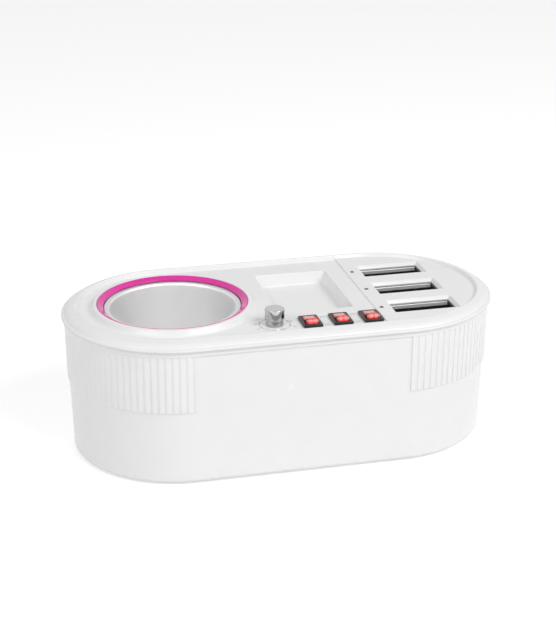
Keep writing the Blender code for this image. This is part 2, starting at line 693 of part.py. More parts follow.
def make_panel():
    panel = loft([stadium(inset, z) for inset, z in rim_profile()])
    rise = COLLAR_TOP_RISE + DECK_STEP
    crown = COLLAR_SEAT_RADIUS + COLLAR_TOP_WIDTH
    slope = [(crown + (COLLAR_OUTER_RADIUS - crown) * out, MAIN_DECK + rise * up)
             for out, up in COLLAR_SLOPE_SHARES]
    (near, foot), (far, height) = slope[:2]
    root = near + (near - far) * SINK / (height - foot)
    collar = turned([(root, MAIN_DECK - SINK)] + slope[1:], (POT_X, 0.0), POT_STEPS)
    tray_floor = MAIN_DECK - TRAY_DEPTH
    tray_low, tray_mouth, _ = tray_rings(PANEL_WALL, tray_floor - PANEL_WALL, MAIN_DECK)
    tray_top = [(x, y, MAIN_DECK - SINK) for x, y, z in tray_mouth]
    join(panel, collar, cartridge_deck(), loft([tray_low, tray_top]))

    additions = []
    for i in range(WELL_COUNT):
        low = FUNNEL_UNDERSIDE
        high = MAIN_DECK - SINK
        size = (OPENING_LENGTH + 2 * FUNNEL_WALL, OPENING_WIDTH + 2 * FUNNEL_WALL, high - low)
        additions.append(centred_block((WELL_X, well_y(i), (high + low) / 2), size))
    for i in range(WELL_COUNT - 1):
        y = (well_y(i) + well_y(i + 1)) / 2
        additions.append(turned(((BRACKET_POST_RADIUS, BRACKET_TOP + GAP),
                                 (BRACKET_POST_RADIUS, MAIN_DECK - SINK)), (WELL_X, y)))
        additions.append(turned(((BOARD_PIN_RADIUS, BOARD_TOP - BOARD_THICKNESS - GAP),
                                 (BOARD_PIN_RADIUS, BOARD_TOP + GAP),
                                 (BOARD_POST_RADIUS, BOARD_TOP + GAP),
                                 (BOARD_POST_RADIUS, MAIN_DECK - SINK)), (LED_X, y)))
    for sx, sy in signs():
        additions.append(turned(((LID_POST_RADIUS, LID_POST_BOTTOM), (LID_POST_RADIUS, MAIN_DECK - SINK)),
                                (sx * LID_POST_X, sy * LID_POST_Y)))
    join(panel, *additions)

    cuts = [turned(((COLLAR_HOLE_RADIUS, PANEL_UNDERSIDE - OVERRUN),
                    (COLLAR_HOLE_RADIUS, DECK + COLLAR_SEAT_RISE),
                    (COLLAR_SEAT_RADIUS, DECK + COLLAR_SEAT_RISE),
                    (COLLAR_SEAT_RADIUS, DECK + rise + OVERRUN)), (POT_X, 0.0), POT_STEPS),
            loft(tray_rings(0.0, tray_floor, MAIN_DECK + OVERRUN))]
    for i in range(WELL_COUNT):
        centre = (WELL_X, well_y(i))
        neck = DECK - FUNNEL_DEPTH
        cuts.append(loft([
            rounded_rectangle(OPENING_LENGTH, OPENING_WIDTH, BEZEL_CORNER, FUNNEL_UNDERSIDE - OVERRUN,
                              centre),
            rounded_rectangle(OPENING_LENGTH, OPENING_WIDTH, BEZEL_CORNER, neck, centre),
            rounded_rectangle(BEZEL_LENGTH, BEZEL_WIDTH, BEZEL_CORNER, DECK, centre),
            rounded_rectangle(BEZEL_LENGTH, BEZEL_WIDTH, BEZEL_CORNER, DECK + OVERRUN, centre)]))
        led_hole = LED_RADIUS + LED_HOLE_CLEARANCE
        cuts.append(turned(((led_hole, PANEL_UNDERSIDE - OVERRUN), (led_hole, DECK + OVERRUN)),
                           (LED_X, well_y(i)), SCREW_STEPS))
    for i in range(WELL_COUNT - 1):
        y = (well_y(i) + well_y(i + 1)) / 2
        cuts.append(turned(((SCREW_HOLE_RADIUS, BRACKET_TOP - OVERRUN),
                            (SCREW_HOLE_RADIUS, DECK - DECK_STEP - SINK)), (WELL_X, y), SCREW_STEPS))
    for sx, sy in signs():
        cuts.append(turned(((SCREW_HOLE_RADIUS, LID_POST_BOTTOM - OVERRUN),
                            (SCREW_HOLE_RADIUS, LID_POST_BOTTOM + SCREW_LENGTH)),
                           (sx * LID_POST_X, sy * LID_POST_Y), SCREW_STEPS))
    for x, y in chamber_screw_places():
        cuts.append(turned(((SCREW_HOLE_RADIUS, PANEL_UNDERSIDE - OVERRUN),
                            (SCREW_HOLE_RADIUS, PANEL_UNDERSIDE + CHAMBER_PILOT_DEPTH)),
                           (x, y), SCREW_STEPS))
    cut(panel, *cuts)

    strip_right = STEP_X - STRIP_STEP_ROOM
    strip = loft([rounded_rectangle(strip_right - STRIP_LEFT, STRIP_WIDTH, STRIP_CORNER, z,
                                    ((STRIP_LEFT + strip_right) / 2, (STRIP_FRONT + STRIP_BACK) / 2))
                  for z in (STRIP_DECK, MAIN_DECK + OVERRUN)])
    cut(panel, strip)
    bushing_hole = BUSHING_OUTER + GAP
    cut_low = PANEL_UNDERSIDE - OVERRUN
    cut_high = MAIN_DECK + OVERRUN
    holes = [turned(((bushing_hole, cut_low), (bushing_hole, cut_high)), (DIAL_X, DIAL_Y))]
    for i in range(SWITCH_COUNT):
        size = (SWITCH_BODY_WIDTH + 2 * GAP, SWITCH_BODY_LENGTH + 2 * GAP, cut_high - cut_low)
        holes.append(centred_block((switch_x(i), SWITCH_Y, (cut_high + cut_low) / 2), size))
    cut(panel, *holes)
    return place(panel, "top_panel", WHITE_ABS)


def make_pot_ring():
    outer = COLLAR_SEAT_RADIUS - GAP
    seat = DECK + COLLAR_SEAT_RISE + GAP
    top = DECK + RING_TOP_RISE
    profile = ((outer, seat), (outer, top - RING_EDGE), (outer - RING_EDGE, top),
               (outer - RING_TOP_WIDTH, top),
               (RING_INNER_RADIUS, DECK + RING_INNER_RISE), (RING_INNER_RADIUS, seat))
    ring = turned(profile, (POT_X, 0.0), POT_STEPS, closed=True)
    return place(ring, "pot_ring", PINK_ACRYLIC, (POT_X, 0.0, seat))


def make_wax_pot():
    lip = POT_FLANGE_TOP + POT_LIP_HEIGHT
    outer = []
    inner = []
    for i in range(POT_CORNER_STEPS + 1):
        angle = math.pi / 2 * i / POT_CORNER_STEPS
        out = POT_CORNER * math.sin(angle)
        up = POT_CORNER * (1 - math.cos(angle))
        inner.append((POT_INNER_RADIUS - POT_CORNER + out, POT_FLOOR + up))
        outer.append((POT_OUTER_RADIUS - POT_CORNER + out, POT_FLOOR - POT_WALL + up))
    bend = POT_FLANGE_RADIUS - POT_LIP_EDGE - POT_LIP_WIDTH - POT_INNER_RADIUS
    profile = outer + [(POT_OUTER_RADIUS, POT_FLANGE_UNDERSIDE), (POT_FLANGE_RADIUS, POT_FLANGE_UNDERSIDE),
                       (POT_FLANGE_RADIUS, lip - POT_LIP_EDGE), (POT_FLANGE_RADIUS - POT_LIP_EDGE, lip)]
    profile += [(POT_INNER_RADIUS + bend * out, lip - POT_LIP_BEND * down) for out, down in POT_BEND_SHARES]
    profile += inner[::-1]
    pot = turned(profile, (POT_X, 0.0), POT_STEPS)
    return place(pot, "wax_pot", ALUMINIUM, (POT_X, 0.0, POT_FLANGE_UNDERSIDE))


def make_chamber():
    profile = ((CHAMBER_OUTER_RADIUS, CHAMBER_UNDERSIDE), (CHAMBER_OUTER_RADIUS, CHAMBER_FLANGE_UNDERSIDE),
               (CHAMBER_FLANGE_RADIUS, CHAMBER_FLANGE_UNDERSIDE), (CHAMBER_FLANGE_RADIUS, CHAMBER_FLANGE_TOP),
               (CHAMBER_OUTER_RADIUS, CHAMBER_FLANGE_TOP), (CHAMBER_OUTER_RADIUS, CHAMBER_TOP),
               (CHAMBER_INNER_RADIUS, CHAMBER_TOP), (CHAMBER_INNER_RADIUS, CHAMBER_FLOOR))
    chamber = turned(profile, (POT_X, 0.0), POT_STEPS)
    cut(chamber, *[turned(((SCREW_HOLE_RADIUS, CHAMBER_FLANGE_UNDERSIDE - OVERRUN),
                           (SCREW_HOLE_RADIUS, CHAMBER_FLANGE_TOP + OVERRUN)), place_xy, SCREW_STEPS)
                   for place_xy in chamber_screw_places()])
    place(chamber, "heating_chamber", ALUMINIUM, (POT_X, 0.0, CHAMBER_FLANGE_TOP))

    start = math.radians(HEATER_BAND_OPENING_DEG) / 2
    arc = [start + (2 * math.pi - 2 * start) * i / POT_STEPS for i in range(POT_STEPS + 1)]
    outline = [(POT_X - r * math.cos(a), -r * math.sin(a))
               for r, angles in ((HEATER_BAND_INNER, arc), (HEATER_BAND_OUTER, arc[::-1])) for a in angles]
    band = prism(outline, HEATER_BAND_BOTTOM, HEATER_BAND_BOTTOM + HEATER_BAND_HEIGHT)
    place(band, "pot_heater_band", MICA)

    top = CHAMBER_UNDERSIDE - GAP
    cutout = turned(((CUTOUT_RADIUS, top - CUTOUT_THICKNESS), (CUTOUT_RADIUS, top)), (POT_X, 0.0))
    ear = centred_block((POT_X, 0.0, top - CUTOUT_EAR_THICKNESS),
                        (2 * CUTOUT_EAR, CUTOUT_RADIUS, CUTOUT_EAR_THICKNESS))
    place(join(cutout, ear), "thermal_cutout", DARK_PLASTIC)
    for i, (x, y) in enumerate(chamber_screw_places()):
        screw(f"chamber_screw_{i + 1}", x, y, CHAMBER_FLANGE_UNDERSIDE, SHORT_SCREW_LENGTH)


def make_wells():
    for i in range(WELL_COUNT):
        centre = (WELL_X, well_y(i))
        inner = (SLEEVE_INNER_LENGTH, SLEEVE_INNER_WIDTH, SLEEVE_CORNER)
        outer = (SLEEVE_LENGTH, SLEEVE_WIDTH, SLEEVE_CORNER + SLEEVE_WALL)
        flange = (SLEEVE_LENGTH + 2 * SLEEVE_FLANGE_WIDTH, SLEEVE_WIDTH + 2 * SLEEVE_FLANGE_WIDTH,
                  SLEEVE_CORNER + SLEEVE_WALL)
        levels = ((outer, SLEEVE_UNDERSIDE), (outer, SLEEVE_FLANGE_UNDERSIDE),
                  (flange, SLEEVE_FLANGE_UNDERSIDE), (flange, SLEEVE_TOP),
                  (inner, SLEEVE_TOP), (inner, SLEEVE_UNDERSIDE + SLEEVE_WALL))
        sleeve = loft([rounded_rectangle(*size, z, centre) for size, z in levels])
        place(sleeve, f"cartridge_sleeve_{i + 1}", POLISHED_ALUMINIUM, (*centre, SLEEVE_TOP))

        heater_back = centre[1] - SLEEVE_WIDTH / 2 - GAP
        heater_front = heater_back - HEATER_THICKNESS
        low = SLEEVE_UNDERSIDE + HEATER_LIFT
        heater = block((WELL_X - HEATER_LENGTH / 2, heater_front, low),
                       (WELL_X + HEATER_LENGTH / 2, heater_back, low + HEATER_HEIGHT))
        place(heater, f"sleeve_heater_{i + 1}", CERAMIC)

        side = SLEEVE_LENGTH / 2 + GAP
        back = centre[1] + SLEEVE_WIDTH / 2 + GAP
        front = heater_front - GAP
        hook = side - CLIP_HOOK
        t = CLIP_THICKNESS
        half = ((side, front), (side, back), (hook, back), (hook, back + t), (side + t, back + t),
                (side + t, front - t))
        outline = [(WELL_X + x, y) for x, y in half] + [(WELL_X - x, y) for x, y in half[::-1]]
        middle = low + (HEATER_HEIGHT - CLIP_HEIGHT) / 2
        place(prism(outline, middle, middle + CLIP_HEIGHT), f"heater_clip_{i + 1}", SPRING_STEEL)

    reach_y = well_y(0) + SLEEVE_WIDTH / 2 + BRACKET_END_MARGIN
    plate = centred_block((WELL_X, 0.0, (BRACKET_TOP + BRACKET_UNDERSIDE) / 2),
                          (SLEEVE_LENGTH + 2 * BRACKET_SIDE_MARGIN, 2 * reach_y, BRACKET_THICKNESS))
    hole_size = (SLEEVE_LENGTH + 2 * GAP, SLEEVE_WIDTH + 2 * GAP, OVERRUN)
    cuts = [centred_block((WELL_X, well_y(i), BRACKET_TOP), hole_size) for i in range(WELL_COUNT)]
    for i in range(WELL_COUNT - 1):
        y = (well_y(i) + well_y(i + 1)) / 2
        cuts.append(turned(((SCREW_HOLE_RADIUS, BRACKET_UNDERSIDE - OVERRUN),
                            (SCREW_HOLE_RADIUS, BRACKET_TOP + OVERRUN)), (WELL_X, y), SCREW_STEPS))
        screw(f"bracket_screw_{i + 1}", WELL_X, y, BRACKET_UNDERSIDE, SHORT_SCREW_LENGTH)
    place(cut(plate, *cuts), "sleeve_bracket", STEEL)


def make_lamps():
    reach = well_y(0) + BOARD_MARGIN
    board = centred_block((LED_X, 0.0, BOARD_TOP - BOARD_THICKNESS / 2),
                          (BOARD_WIDTH, 2 * reach, BOARD_THICKNESS))
    hole = BOARD_PIN_RADIUS + GAP
    cuts = [turned(((hole, BOARD_TOP - OVERRUN), (hole, BOARD_TOP + OVERRUN)),
                   (LED_X, (well_y(i) + well_y(i + 1)) / 2), SCREW_STEPS) for i in range(WELL_COUNT - 1)]
    place(cut(board, *cuts), "indicator_board", BOARD_GREEN)
    for i in range(WELL_COUNT):
        top = DECK + LED_RISE
        base = BOARD_TOP + GAP
        flange = LED_RADIUS + LED_FLANGE
        profile = [(flange, base), (flange, base + LED_FLANGE), (LED_RADIUS, base + LED_FLANGE)]
        profile += [(LED_RADIUS * out, top - LED_RADIUS * down) for out, down in LED_DOME_SHARES]
        lamp = turned(profile, (LED_X, well_y(i)))
        place(lamp, f"indicator_led_{i + 1}", RED_LENS, (LED_X, well_y(i), DECK))


def rocker_outline():
    """The rocker's side view about its pivot, level: a shallow V over round ends, as (y, z) pairs."""
    end = math.atan2(ROCKER_END_HEIGHT, ROCKER_HALF_LENGTH)
    foot = -math.asin(ROCKER_DEPTH / ROCKER_SWEEP)
    outline = [(0.0, ROCKER_MIDDLE_HEIGHT)]
    for i in range(CORNER_STEPS + 1):
        angle = end + (foot - end) * i / CORNER_STEPS
        outline.append((ROCKER_SWEEP * math.cos(angle), ROCKER_SWEEP * math.sin(angle)))
    return outline + [(-y, z) for y, z in outline[:0:-1]]


def make_switch(index):
    x = switch_x(index)
    seat = STRIP_DECK + GAP
    inner_top = SWITCH_FRAME_WIDTH - 2 * SWITCH_FRAME_BEVEL
    inner_length = SWITCH_FRAME_LENGTH - 2 * SWITCH_FRAME_BEVEL
    bevel = SWITCH_FRAME_BEVEL
    levels = ((SWITCH_BODY_WIDTH, SWITCH_BODY_LENGTH, SWITCH_UNDERSIDE),
              (SWITCH_BODY_WIDTH, SWITCH_BODY_LENGTH, seat),
              (SWITCH_FRAME_WIDTH, SWITCH_FRAME_LENGTH, seat),
              (SWITCH_FRAME_WIDTH, SWITCH_FRAME_LENGTH, SWITCH_TOP - bevel),
              (inner_top, inner_length, SWITCH_TOP))
    body = loft([rounded_rectangle(width, length, bevel, z, (x, SWITCH_Y), 1)
                 for width, length, z in levels])
    blades = []
    for i in (-1, 0, 1):
        low = SWITCH_UNDERSIDE - SWITCH_BLADE_LENGTH
        high = SWITCH_UNDERSIDE + SINK
        size = (SWITCH_BLADE_WIDTH, SWITCH_BLADE_THICKNESS, high - low)
        blades.append(centred_block((x, SWITCH_Y + i * SWITCH_BLADE_PITCH, (low + high) / 2), size))
    join(body, *blades)
    floor = SWITCH_UNDERSIDE + SWITCH_FLOOR
    well = block((x - SWITCH_OPENING_WIDTH / 2, SWITCH_Y - SWITCH_OPENING_LENGTH / 2, floor),
                 (x + SWITCH_OPENING_WIDTH / 2, SWITCH_Y + SWITCH_OPENING_LENGTH / 2, SWITCH_TOP + OVERRUN))
    cut(body, well)
    cut(body, pivot_pin(x, ROCKER_PIN_RADIUS + GAP, SWITCH_BODY_WIDTH / 2 + GAP))
    place(body, f"switch_body_{index + 1}", BLACK_NYLON, (x, SWITCH_Y, seat))

    tilt = math.radians(ROCKER_TILT_DEG)
    outline = [(y * math.cos(tilt) - z * math.sin(tilt), y * math.sin(tilt) + z * math.cos(tilt))
               for y, z in rocker_outline()]
    rocker = loft([[(x + side * ROCKER_WIDTH / 2, SWITCH_Y + y, ROCKER_PIVOT + z) for y, z in outline]
                   for side in (-1, 1)])
    join(rocker, pivot_pin(x, ROCKER_PIN_RADIUS, ROCKER_WIDTH / 2 + ROCKER_PIN_LENGTH))
    place(rocker, f"switch_rocker_{index + 1}", RED_LENS, (x, SWITCH_Y, ROCKER_PIVOT))


def pivot_pin(x, radius, half_length):
    """A round bar along X through a rocker's pivot."""
    ring = circle(radius, 0.0, steps=SCREW_STEPS)
    return loft([[(x + side * half_length, SWITCH_Y + y, ROCKER_PIVOT + z) for y, z, _ in ring]
                 for side in (-1, 1)])


def d_outline(radius, flat):
    """A round outline with one flat, as (x, y) pairs about the dial's centre."""
    start = math.acos(flat / radius)
    steps = SMALL_STEPS
    return [(DIAL_X + radius * math.sin(a), DIAL_Y + radius * math.cos(a))
            for a in (start + (2 * math.pi - 2 * start) * i / steps for i in range(steps + 1))]


def make_thermostat():
    centre = (DIAL_X, DIAL_Y)
    size = THERMOSTAT_SIZE
    low = THERMOSTAT_TOP - THERMOSTAT_HEIGHT
    body = centred_block((DIAL_X, DIAL_Y, (THERMOSTAT_TOP + low) / 2), (size, size, THERMOSTAT_HEIGHT))
    bushing_top = MAIN_DECK + BUSHING_RISE
    join(body, turned(((BUSHING_OUTER, THERMOSTAT_TOP - SINK), (BUSHING_OUTER, bushing_top)), centre))
    bore_floor = THERMOSTAT_TOP - THERMOSTAT_BORE_DEPTH
    cut(body, turned(((BUSHING_INNER, bore_floor), (BUSHING_INNER, bushing_top + OVERRUN)), centre))
    place(body, "thermostat_body", DARK_PLASTIC, (DIAL_X, DIAL_Y, THERMOSTAT_TOP))

    nut_low = STRIP_DECK + GAP
    nut_hole = BUSHING_OUTER + GAP
    nut = turned(((NUT_RADIUS, nut_low), (NUT_RADIUS, nut_low + NUT_HEIGHT)), centre, NUT_SIDES)
    cut(nut, turned(((nut_hole, nut_low - OVERRUN), (nut_hole, nut_low + NUT_HEIGHT + OVERRUN)), centre))
    place(nut, "thermostat_nut", STEEL, (DIAL_X, DIAL_Y, nut_low))

    knob_low = STRIP_DECK + KNOB_LIFT
    top = STRIP_DECK + KNOB_HEIGHT
    shaft_top = top - KNOB_ROOF - GAP
    shaft = prism(d_outline(SHAFT_RADIUS, SHAFT_FLAT), bore_floor + GAP, shaft_top)
    place(shaft, "thermostat_shaft", STEEL, (DIAL_X, DIAL_Y, knob_low))

    waist = STRIP_DECK + KNOB_WAIST_RISE
    profile = ((KNOB_SKIRT_RADIUS, knob_low), (KNOB_SKIRT_RADIUS, knob_low + KNOB_SKIRT_HEIGHT),
               (KNOB_WAIST_RADIUS, waist - KNOB_EDGE), (KNOB_WAIST_RADIUS, waist),
               (KNOB_RADIUS, waist + KNOB_EDGE), (KNOB_RADIUS, top - KNOB_EDGE),
               (KNOB_RADIUS - KNOB_EDGE, top))
    knob = turned(profile, centre, KNOB_STEPS)
    cut(knob, turned(((KNOB_HOLLOW_RADIUS, knob_low - OVERRUN),
                      (KNOB_HOLLOW_RADIUS, knob_low + KNOB_HOLLOW_DEPTH)), centre))
    cut(knob, prism(d_outline(SHAFT_RADIUS + GAP, SHAFT_FLAT + GAP), knob_low, top - KNOB_ROOF))
    place(knob, "control_knob", CHROME, (DIAL_X, DIAL_Y, knob_low))


def make_base():
    recess = wall_inset(HOUSING_BOTTOM) + BOTTOM_FILLET + BOTTOM_EDGE + GAP
    plate = loft([stadium(recess, BASE_UNDERSIDE), stadium(recess, BASE_TOP)])
    middle = (BASE_UNDERSIDE + BASE_TOP) / 2
    depth = BASE_THICKNESS + 2 * OVERRUN
    cuts = []
    for i in range(VENT_COUNT):
        x = (i - (VENT_COUNT - 1) / 2) * VENT_PITCH
        cuts.append(centred_block((x, VENT_Y, middle), (VENT_WIDTH, VENT_LENGTH, depth)))
    for i, (sx, sy) in enumerate(signs()):
        x = sx * BASE_BOSS_X
        y = sy * BASE_BOSS_Y
        cuts.append(turned(((SCREW_HOLE_RADIUS, middle - depth / 2),
                            (SCREW_HOLE_RADIUS, middle + depth / 2)), (x, y), SCREW_STEPS))
        screw(f"base_screw_{i + 1}", x, y, BASE_UNDERSIDE, SCREW_LENGTH)
        screw(f"lid_screw_{i + 1}", sx * LID_POST_X, sy * LID_POST_Y, LUG_UNDERSIDE, SCREW_LENGTH)
        centre = (sx * FOOT_X, sy * FOOT_Y)
        foot = turned(((FOOT_RADIUS - FOOT_TAPER, 0.0), (FOOT_RADIUS, BASE_UNDERSIDE - GAP)), centre,
                      FOOT_STEPS)
        place(foot, f"rubber_foot_{i + 1}", RUBBER, (*centre, BASE_UNDERSIDE))
    place(cut(plate, *cuts), "base_plate", WHITE_ABS)


def pin_place(index):
    """Centre of an inlet pin, as (x, z): live and neutral level, earth a little higher between them."""
    return INLET_X + index * PIN_PITCH, INLET_Z + (PIN_EARTH_RISE if index == 0 else -PIN_EARTH_RISE)


def make_inlet():
    face = inlet_face_y()
    outer = face + INLET_FLANGE_THICKNESS
    body = centred_block((INLET_X, face - INLET_BODY_DEPTH / 2 + SINK / 2, INLET_Z),
                         (INLET_BODY_LENGTH, INLET_BODY_DEPTH + SINK, INLET_BODY_HEIGHT))
    flange = centred_block((INLET_X, face + INLET_FLANGE_THICKNESS / 2, INLET_Z),
                           (INLET_FLANGE_LENGTH, INLET_FLANGE_THICKNESS, INLET_FLANGE_HEIGHT))
    join(body, flange)
    half = INLET_SOCKET_LENGTH / 2
    tall = INLET_SOCKET_HEIGHT / 2
    chamfer = INLET_SOCKET_CHAMFER
    outline = ((-half, -tall), (half, -tall), (half, tall - chamfer), (half - chamfer, tall),
               (-half + chamfer, tall), (-half, tall - chamfer))
    floor = outer - INLET_SOCKET_DEPTH
    cut(body, loft([[(INLET_X + x, y, INLET_Z + z) for x, z in outline] for y in (floor, outer + OVERRUN)]))
    back = face - INLET_BODY_DEPTH
    tip = floor + PIN_REACH
    holes = []
    for i, name in ((-1, "inlet_pin_live"), (0, "inlet_pin_earth"), (1, "inlet_pin_neutral")):
        x, z = pin_place(i)
        size = (PIN_THICKNESS + 2 * PIN_CLEARANCE, INLET_BODY_DEPTH, PIN_HEIGHT + 2 * PIN_CLEARANCE)
        holes.append(centred_block((x, back, z), size))
        pin = block((x - PIN_THICKNESS / 2, back - PIN_TAIL, z - PIN_HEIGHT / 2),
                    (x + PIN_THICKNESS / 2, tip, z + PIN_HEIGHT / 2))
        place(pin, name, NICKEL, (x, back, z))
    cut(body, *holes)
    place(body, "mains_inlet", BLACK_NYLON, (INLET_X, face, INLET_Z))


def terminal_well_x(index):
    return TERMINAL_X + (index - (TERMINAL_WELLS - 1) / 2) * TERMINAL_LENGTH / TERMINAL_WELLS


def make_terminal_block():
    low = BASE_TOP + GAP
    body = centred_block((TERMINAL_X, TERMINAL_Y, low + TERMINAL_HEIGHT / 2),
                         (TERMINAL_LENGTH, TERMINAL_WIDTH, TERMINAL_HEIGHT))
    top = low + TERMINAL_HEIGHT
    cut(body, *[turned(((TERMINAL_WELL_RADIUS, top - TERMINAL_WELL_DEPTH),
                        (TERMINAL_WELL_RADIUS, top + OVERRUN)), (terminal_well_x(i), TERMINAL_Y))
                for i in range(TERMINAL_WELLS)])
    place(body, "terminal_block", NATURAL_NYLON, (TERMINAL_X, TERMINAL_Y, low))


def smooth_route(points, count):
    """Points along a smooth curve through hand-set ones, whose two end spans begin straight."""
    marks = [Vector(p) for p in points]
    marks = [marks[0], (marks[0] + marks[1]) / 2] + marks[1:-1] + [(marks[-2] + marks[-1]) / 2, marks[-1]]
    ends = [2 * marks[0] - marks[1]] + marks + [2 * marks[-1] - marks[-2]]
    spans = len(marks) - 1
    route = []
    for i in range(count):
        at = spans * i / (count - 1)
        k = min(int(at), spans - 1)
        t = at - k
        a, b, c, d = ends[k:k + 4]
        route.append(b + (c - a) * t / 2 + (2 * a - 5 * b + 4 * c - d) * t * t / 2
                     + (3 * b - 3 * c + d - a) * t * t * t / 2)
    return route


def wire(name, points, finish):
    curve = bpy.data.curves.new(name, "CURVE")
    curve.dimensions = "3D"
    curve.bevel_depth = WIRE_RADIUS
    curve.bevel_resolution = 1
    curve.use_fill_caps = True
    route = smooth_route(points, WIRE_POINTS)
    spline = curve.splines.new("POLY")
    spline.points.add(len(route) - 1)
    for point, place_at in zip(spline.points, route):
        point.co = (*place_at, 1.0)
    curve.materials.append(finish)
    made = bpy.data.objects.new(name, curve)
    bpy.context.scene.collection.objects.link(made)
    return made


def make_wiring():
    """Leads inside the housing: each ends a gap short of the face that it is joined to."""
    tail = inlet_face_y() - INLET_BODY_DEPTH - PIN_TAIL - GAP
    floor = BASE_TOP + GAP + WIRE_RADIUS
    entry = BASE_TOP + TERMINAL_HEIGHT / 2
    block_back = TERMINAL_Y + TERMINAL_WIDTH / 2 + GAP
    block_front = TERMINAL_Y - TERMINAL_WIDTH / 2 - GAP
    bend = WIRE_BEND
    for i, slot, name, finish in ((-1, 0, "live_wire", BROWN_WIRE), (1, 1, "neutral_wire", BLUE_WIRE)):
        x, z = pin_place(i)
        slot_x = terminal_well_x(slot)
        wire(name, ((x, tail, z), (x, tail - bend, z),
                    (slot_x, (tail + block_back) / 2, (z + entry) / 2),
                    (slot_x, block_back + bend, entry), (slot_x, block_back, entry)), finish)

    x, z = pin_place(0)
    stud_x = POT_X + CHAMBER_OUTER_RADIUS / 2
    stud = CHAMBER_UNDERSIDE - GAP
    wire("earth_wire", ((x, tail, z), (x, tail - bend, z), (stud_x / 2, tail / 2, floor + bend),
                        (stud_x + bend, bend, floor + bend / 2), (stud_x, 0.0, stud - bend),
                        (stud_x, 0.0, stud)), GREEN_WIRE)

    band_x = POT_X + HEATER_BAND_OUTER
    band = HEATER_BAND_BOTTOM - GAP
    slot_x = terminal_well_x(0)
    wire("pot_heater_wire", ((slot_x, block_front, entry), (slot_x, block_front - bend, entry),
                             (slot_x / 2, block_front / 2 - bend, floor + bend / 2),
                             (band_x + bend, 0.0, floor + bend), (band_x, 0.0, band - bend),
                             (band_x, 0.0, band)), BROWN_WIRE)

    slot_x = terminal_well_x(2)
    blade = SWITCH_UNDERSIDE - SWITCH_BLADE_LENGTH - GAP
    wire("switch_wire", ((slot_x, block_front, entry), (slot_x, block_front - bend, entry),
                         (switch_x(1), block_front - WIRE_RUN, floor + bend),
                         (switch_x(1), SWITCH_Y + bend, entry + bend), (switch_x(1), SWITCH_Y, blade / 2),
                         (switch_x(1), SWITCH_Y, blade)), BROWN_WIRE)


def clear_scene():
    for old in list(bpy.data.objects):
        bpy.data.objects.remove(old)


clear_scene()
WHITE_ABS = material("white_abs", (0.86, 0.86, 0.85), 0.28)
PINK_ACRYLIC = material("pink_acrylic", (0.80, 0.02, 0.36), 0.2)
ALUMINIUM = material("aluminium", (0.72, 0.72, 0.71), 0.35, 1.0)
POLISHED_ALUMINIUM = material("polished_aluminium", (0.8, 0.8, 0.8), 0.15, 1.0)
CHROME = material("chrome", (0.8, 0.8, 0.81), 0.06, 1.0)
STEEL = material("zinc_plated_steel", (0.62, 0.62, 0.6), 0.35, 1.0)
SPRING_STEEL = material("spring_steel", (0.4, 0.4, 0.42), 0.4, 1.0)
NICKEL = material("nickel_plate", (0.7, 0.68, 0.62), 0.2, 1.0)
BLACK_NYLON = material("black_nylon", (0.02, 0.02, 0.022), 0.35)
DARK_PLASTIC = material("dark_phenolic", (0.05, 0.04, 0.035), 0.5)
NATURAL_NYLON = material("natural_nylon", (0.78, 0.76, 0.7), 0.45)
RED_LENS = material("red_lens", (0.6, 0.02, 0.02), 0.15)
RUBBER = material("foot_rubber", (0.08, 0.08, 0.08), 0.8)
MICA = material("mica_heater", (0.35, 0.3, 0.22), 0.6)
CERAMIC = material("heater_ceramic", (0.75, 0.72, 0.66), 0.6)
BOARD_GREEN = material("circuit_board", (0.03, 0.2, 0.08), 0.4)
BROWN_WIRE = material("brown_wire", (0.15, 0.06, 0.03), 0.5)
BLUE_WIRE = material("blue_wire", (0.03, 0.1, 0.4), 0.5)
GREEN_WIRE = material("green_wire", (0.1, 0.35, 0.05), 0.5)

make_housing()
make_panel()
make_pot_ring()
make_wax_pot()
make_chamber()
make_wells()
make_lamps()
for number in range(SWITCH_COUNT):
    make_switch(number)
make_thermostat()
make_base()
make_inlet()
make_terminal_block()
make_wiring()
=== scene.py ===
# %% [markdown]
# # A wax heater, dressed for its picture
#
# A salon keeps its wax warm in a heater like this one. A metal pot sits at the left, a tray for spatulas
# in the middle, and three upright wells for roll-on cartridges at the right. The frame that this script
# loads already has every piece at its real size and place, and it works. What it lacks is looks, so each
# cell below takes one piece, says what it is on the real object, and gives it its true surface and finish.

# %% Start from the working model
import json
import math

import bpy
import bmesh
import numpy as np
from mathutils import Matrix, Vector
from mathutils.geometry import delaunay_2d_cdt

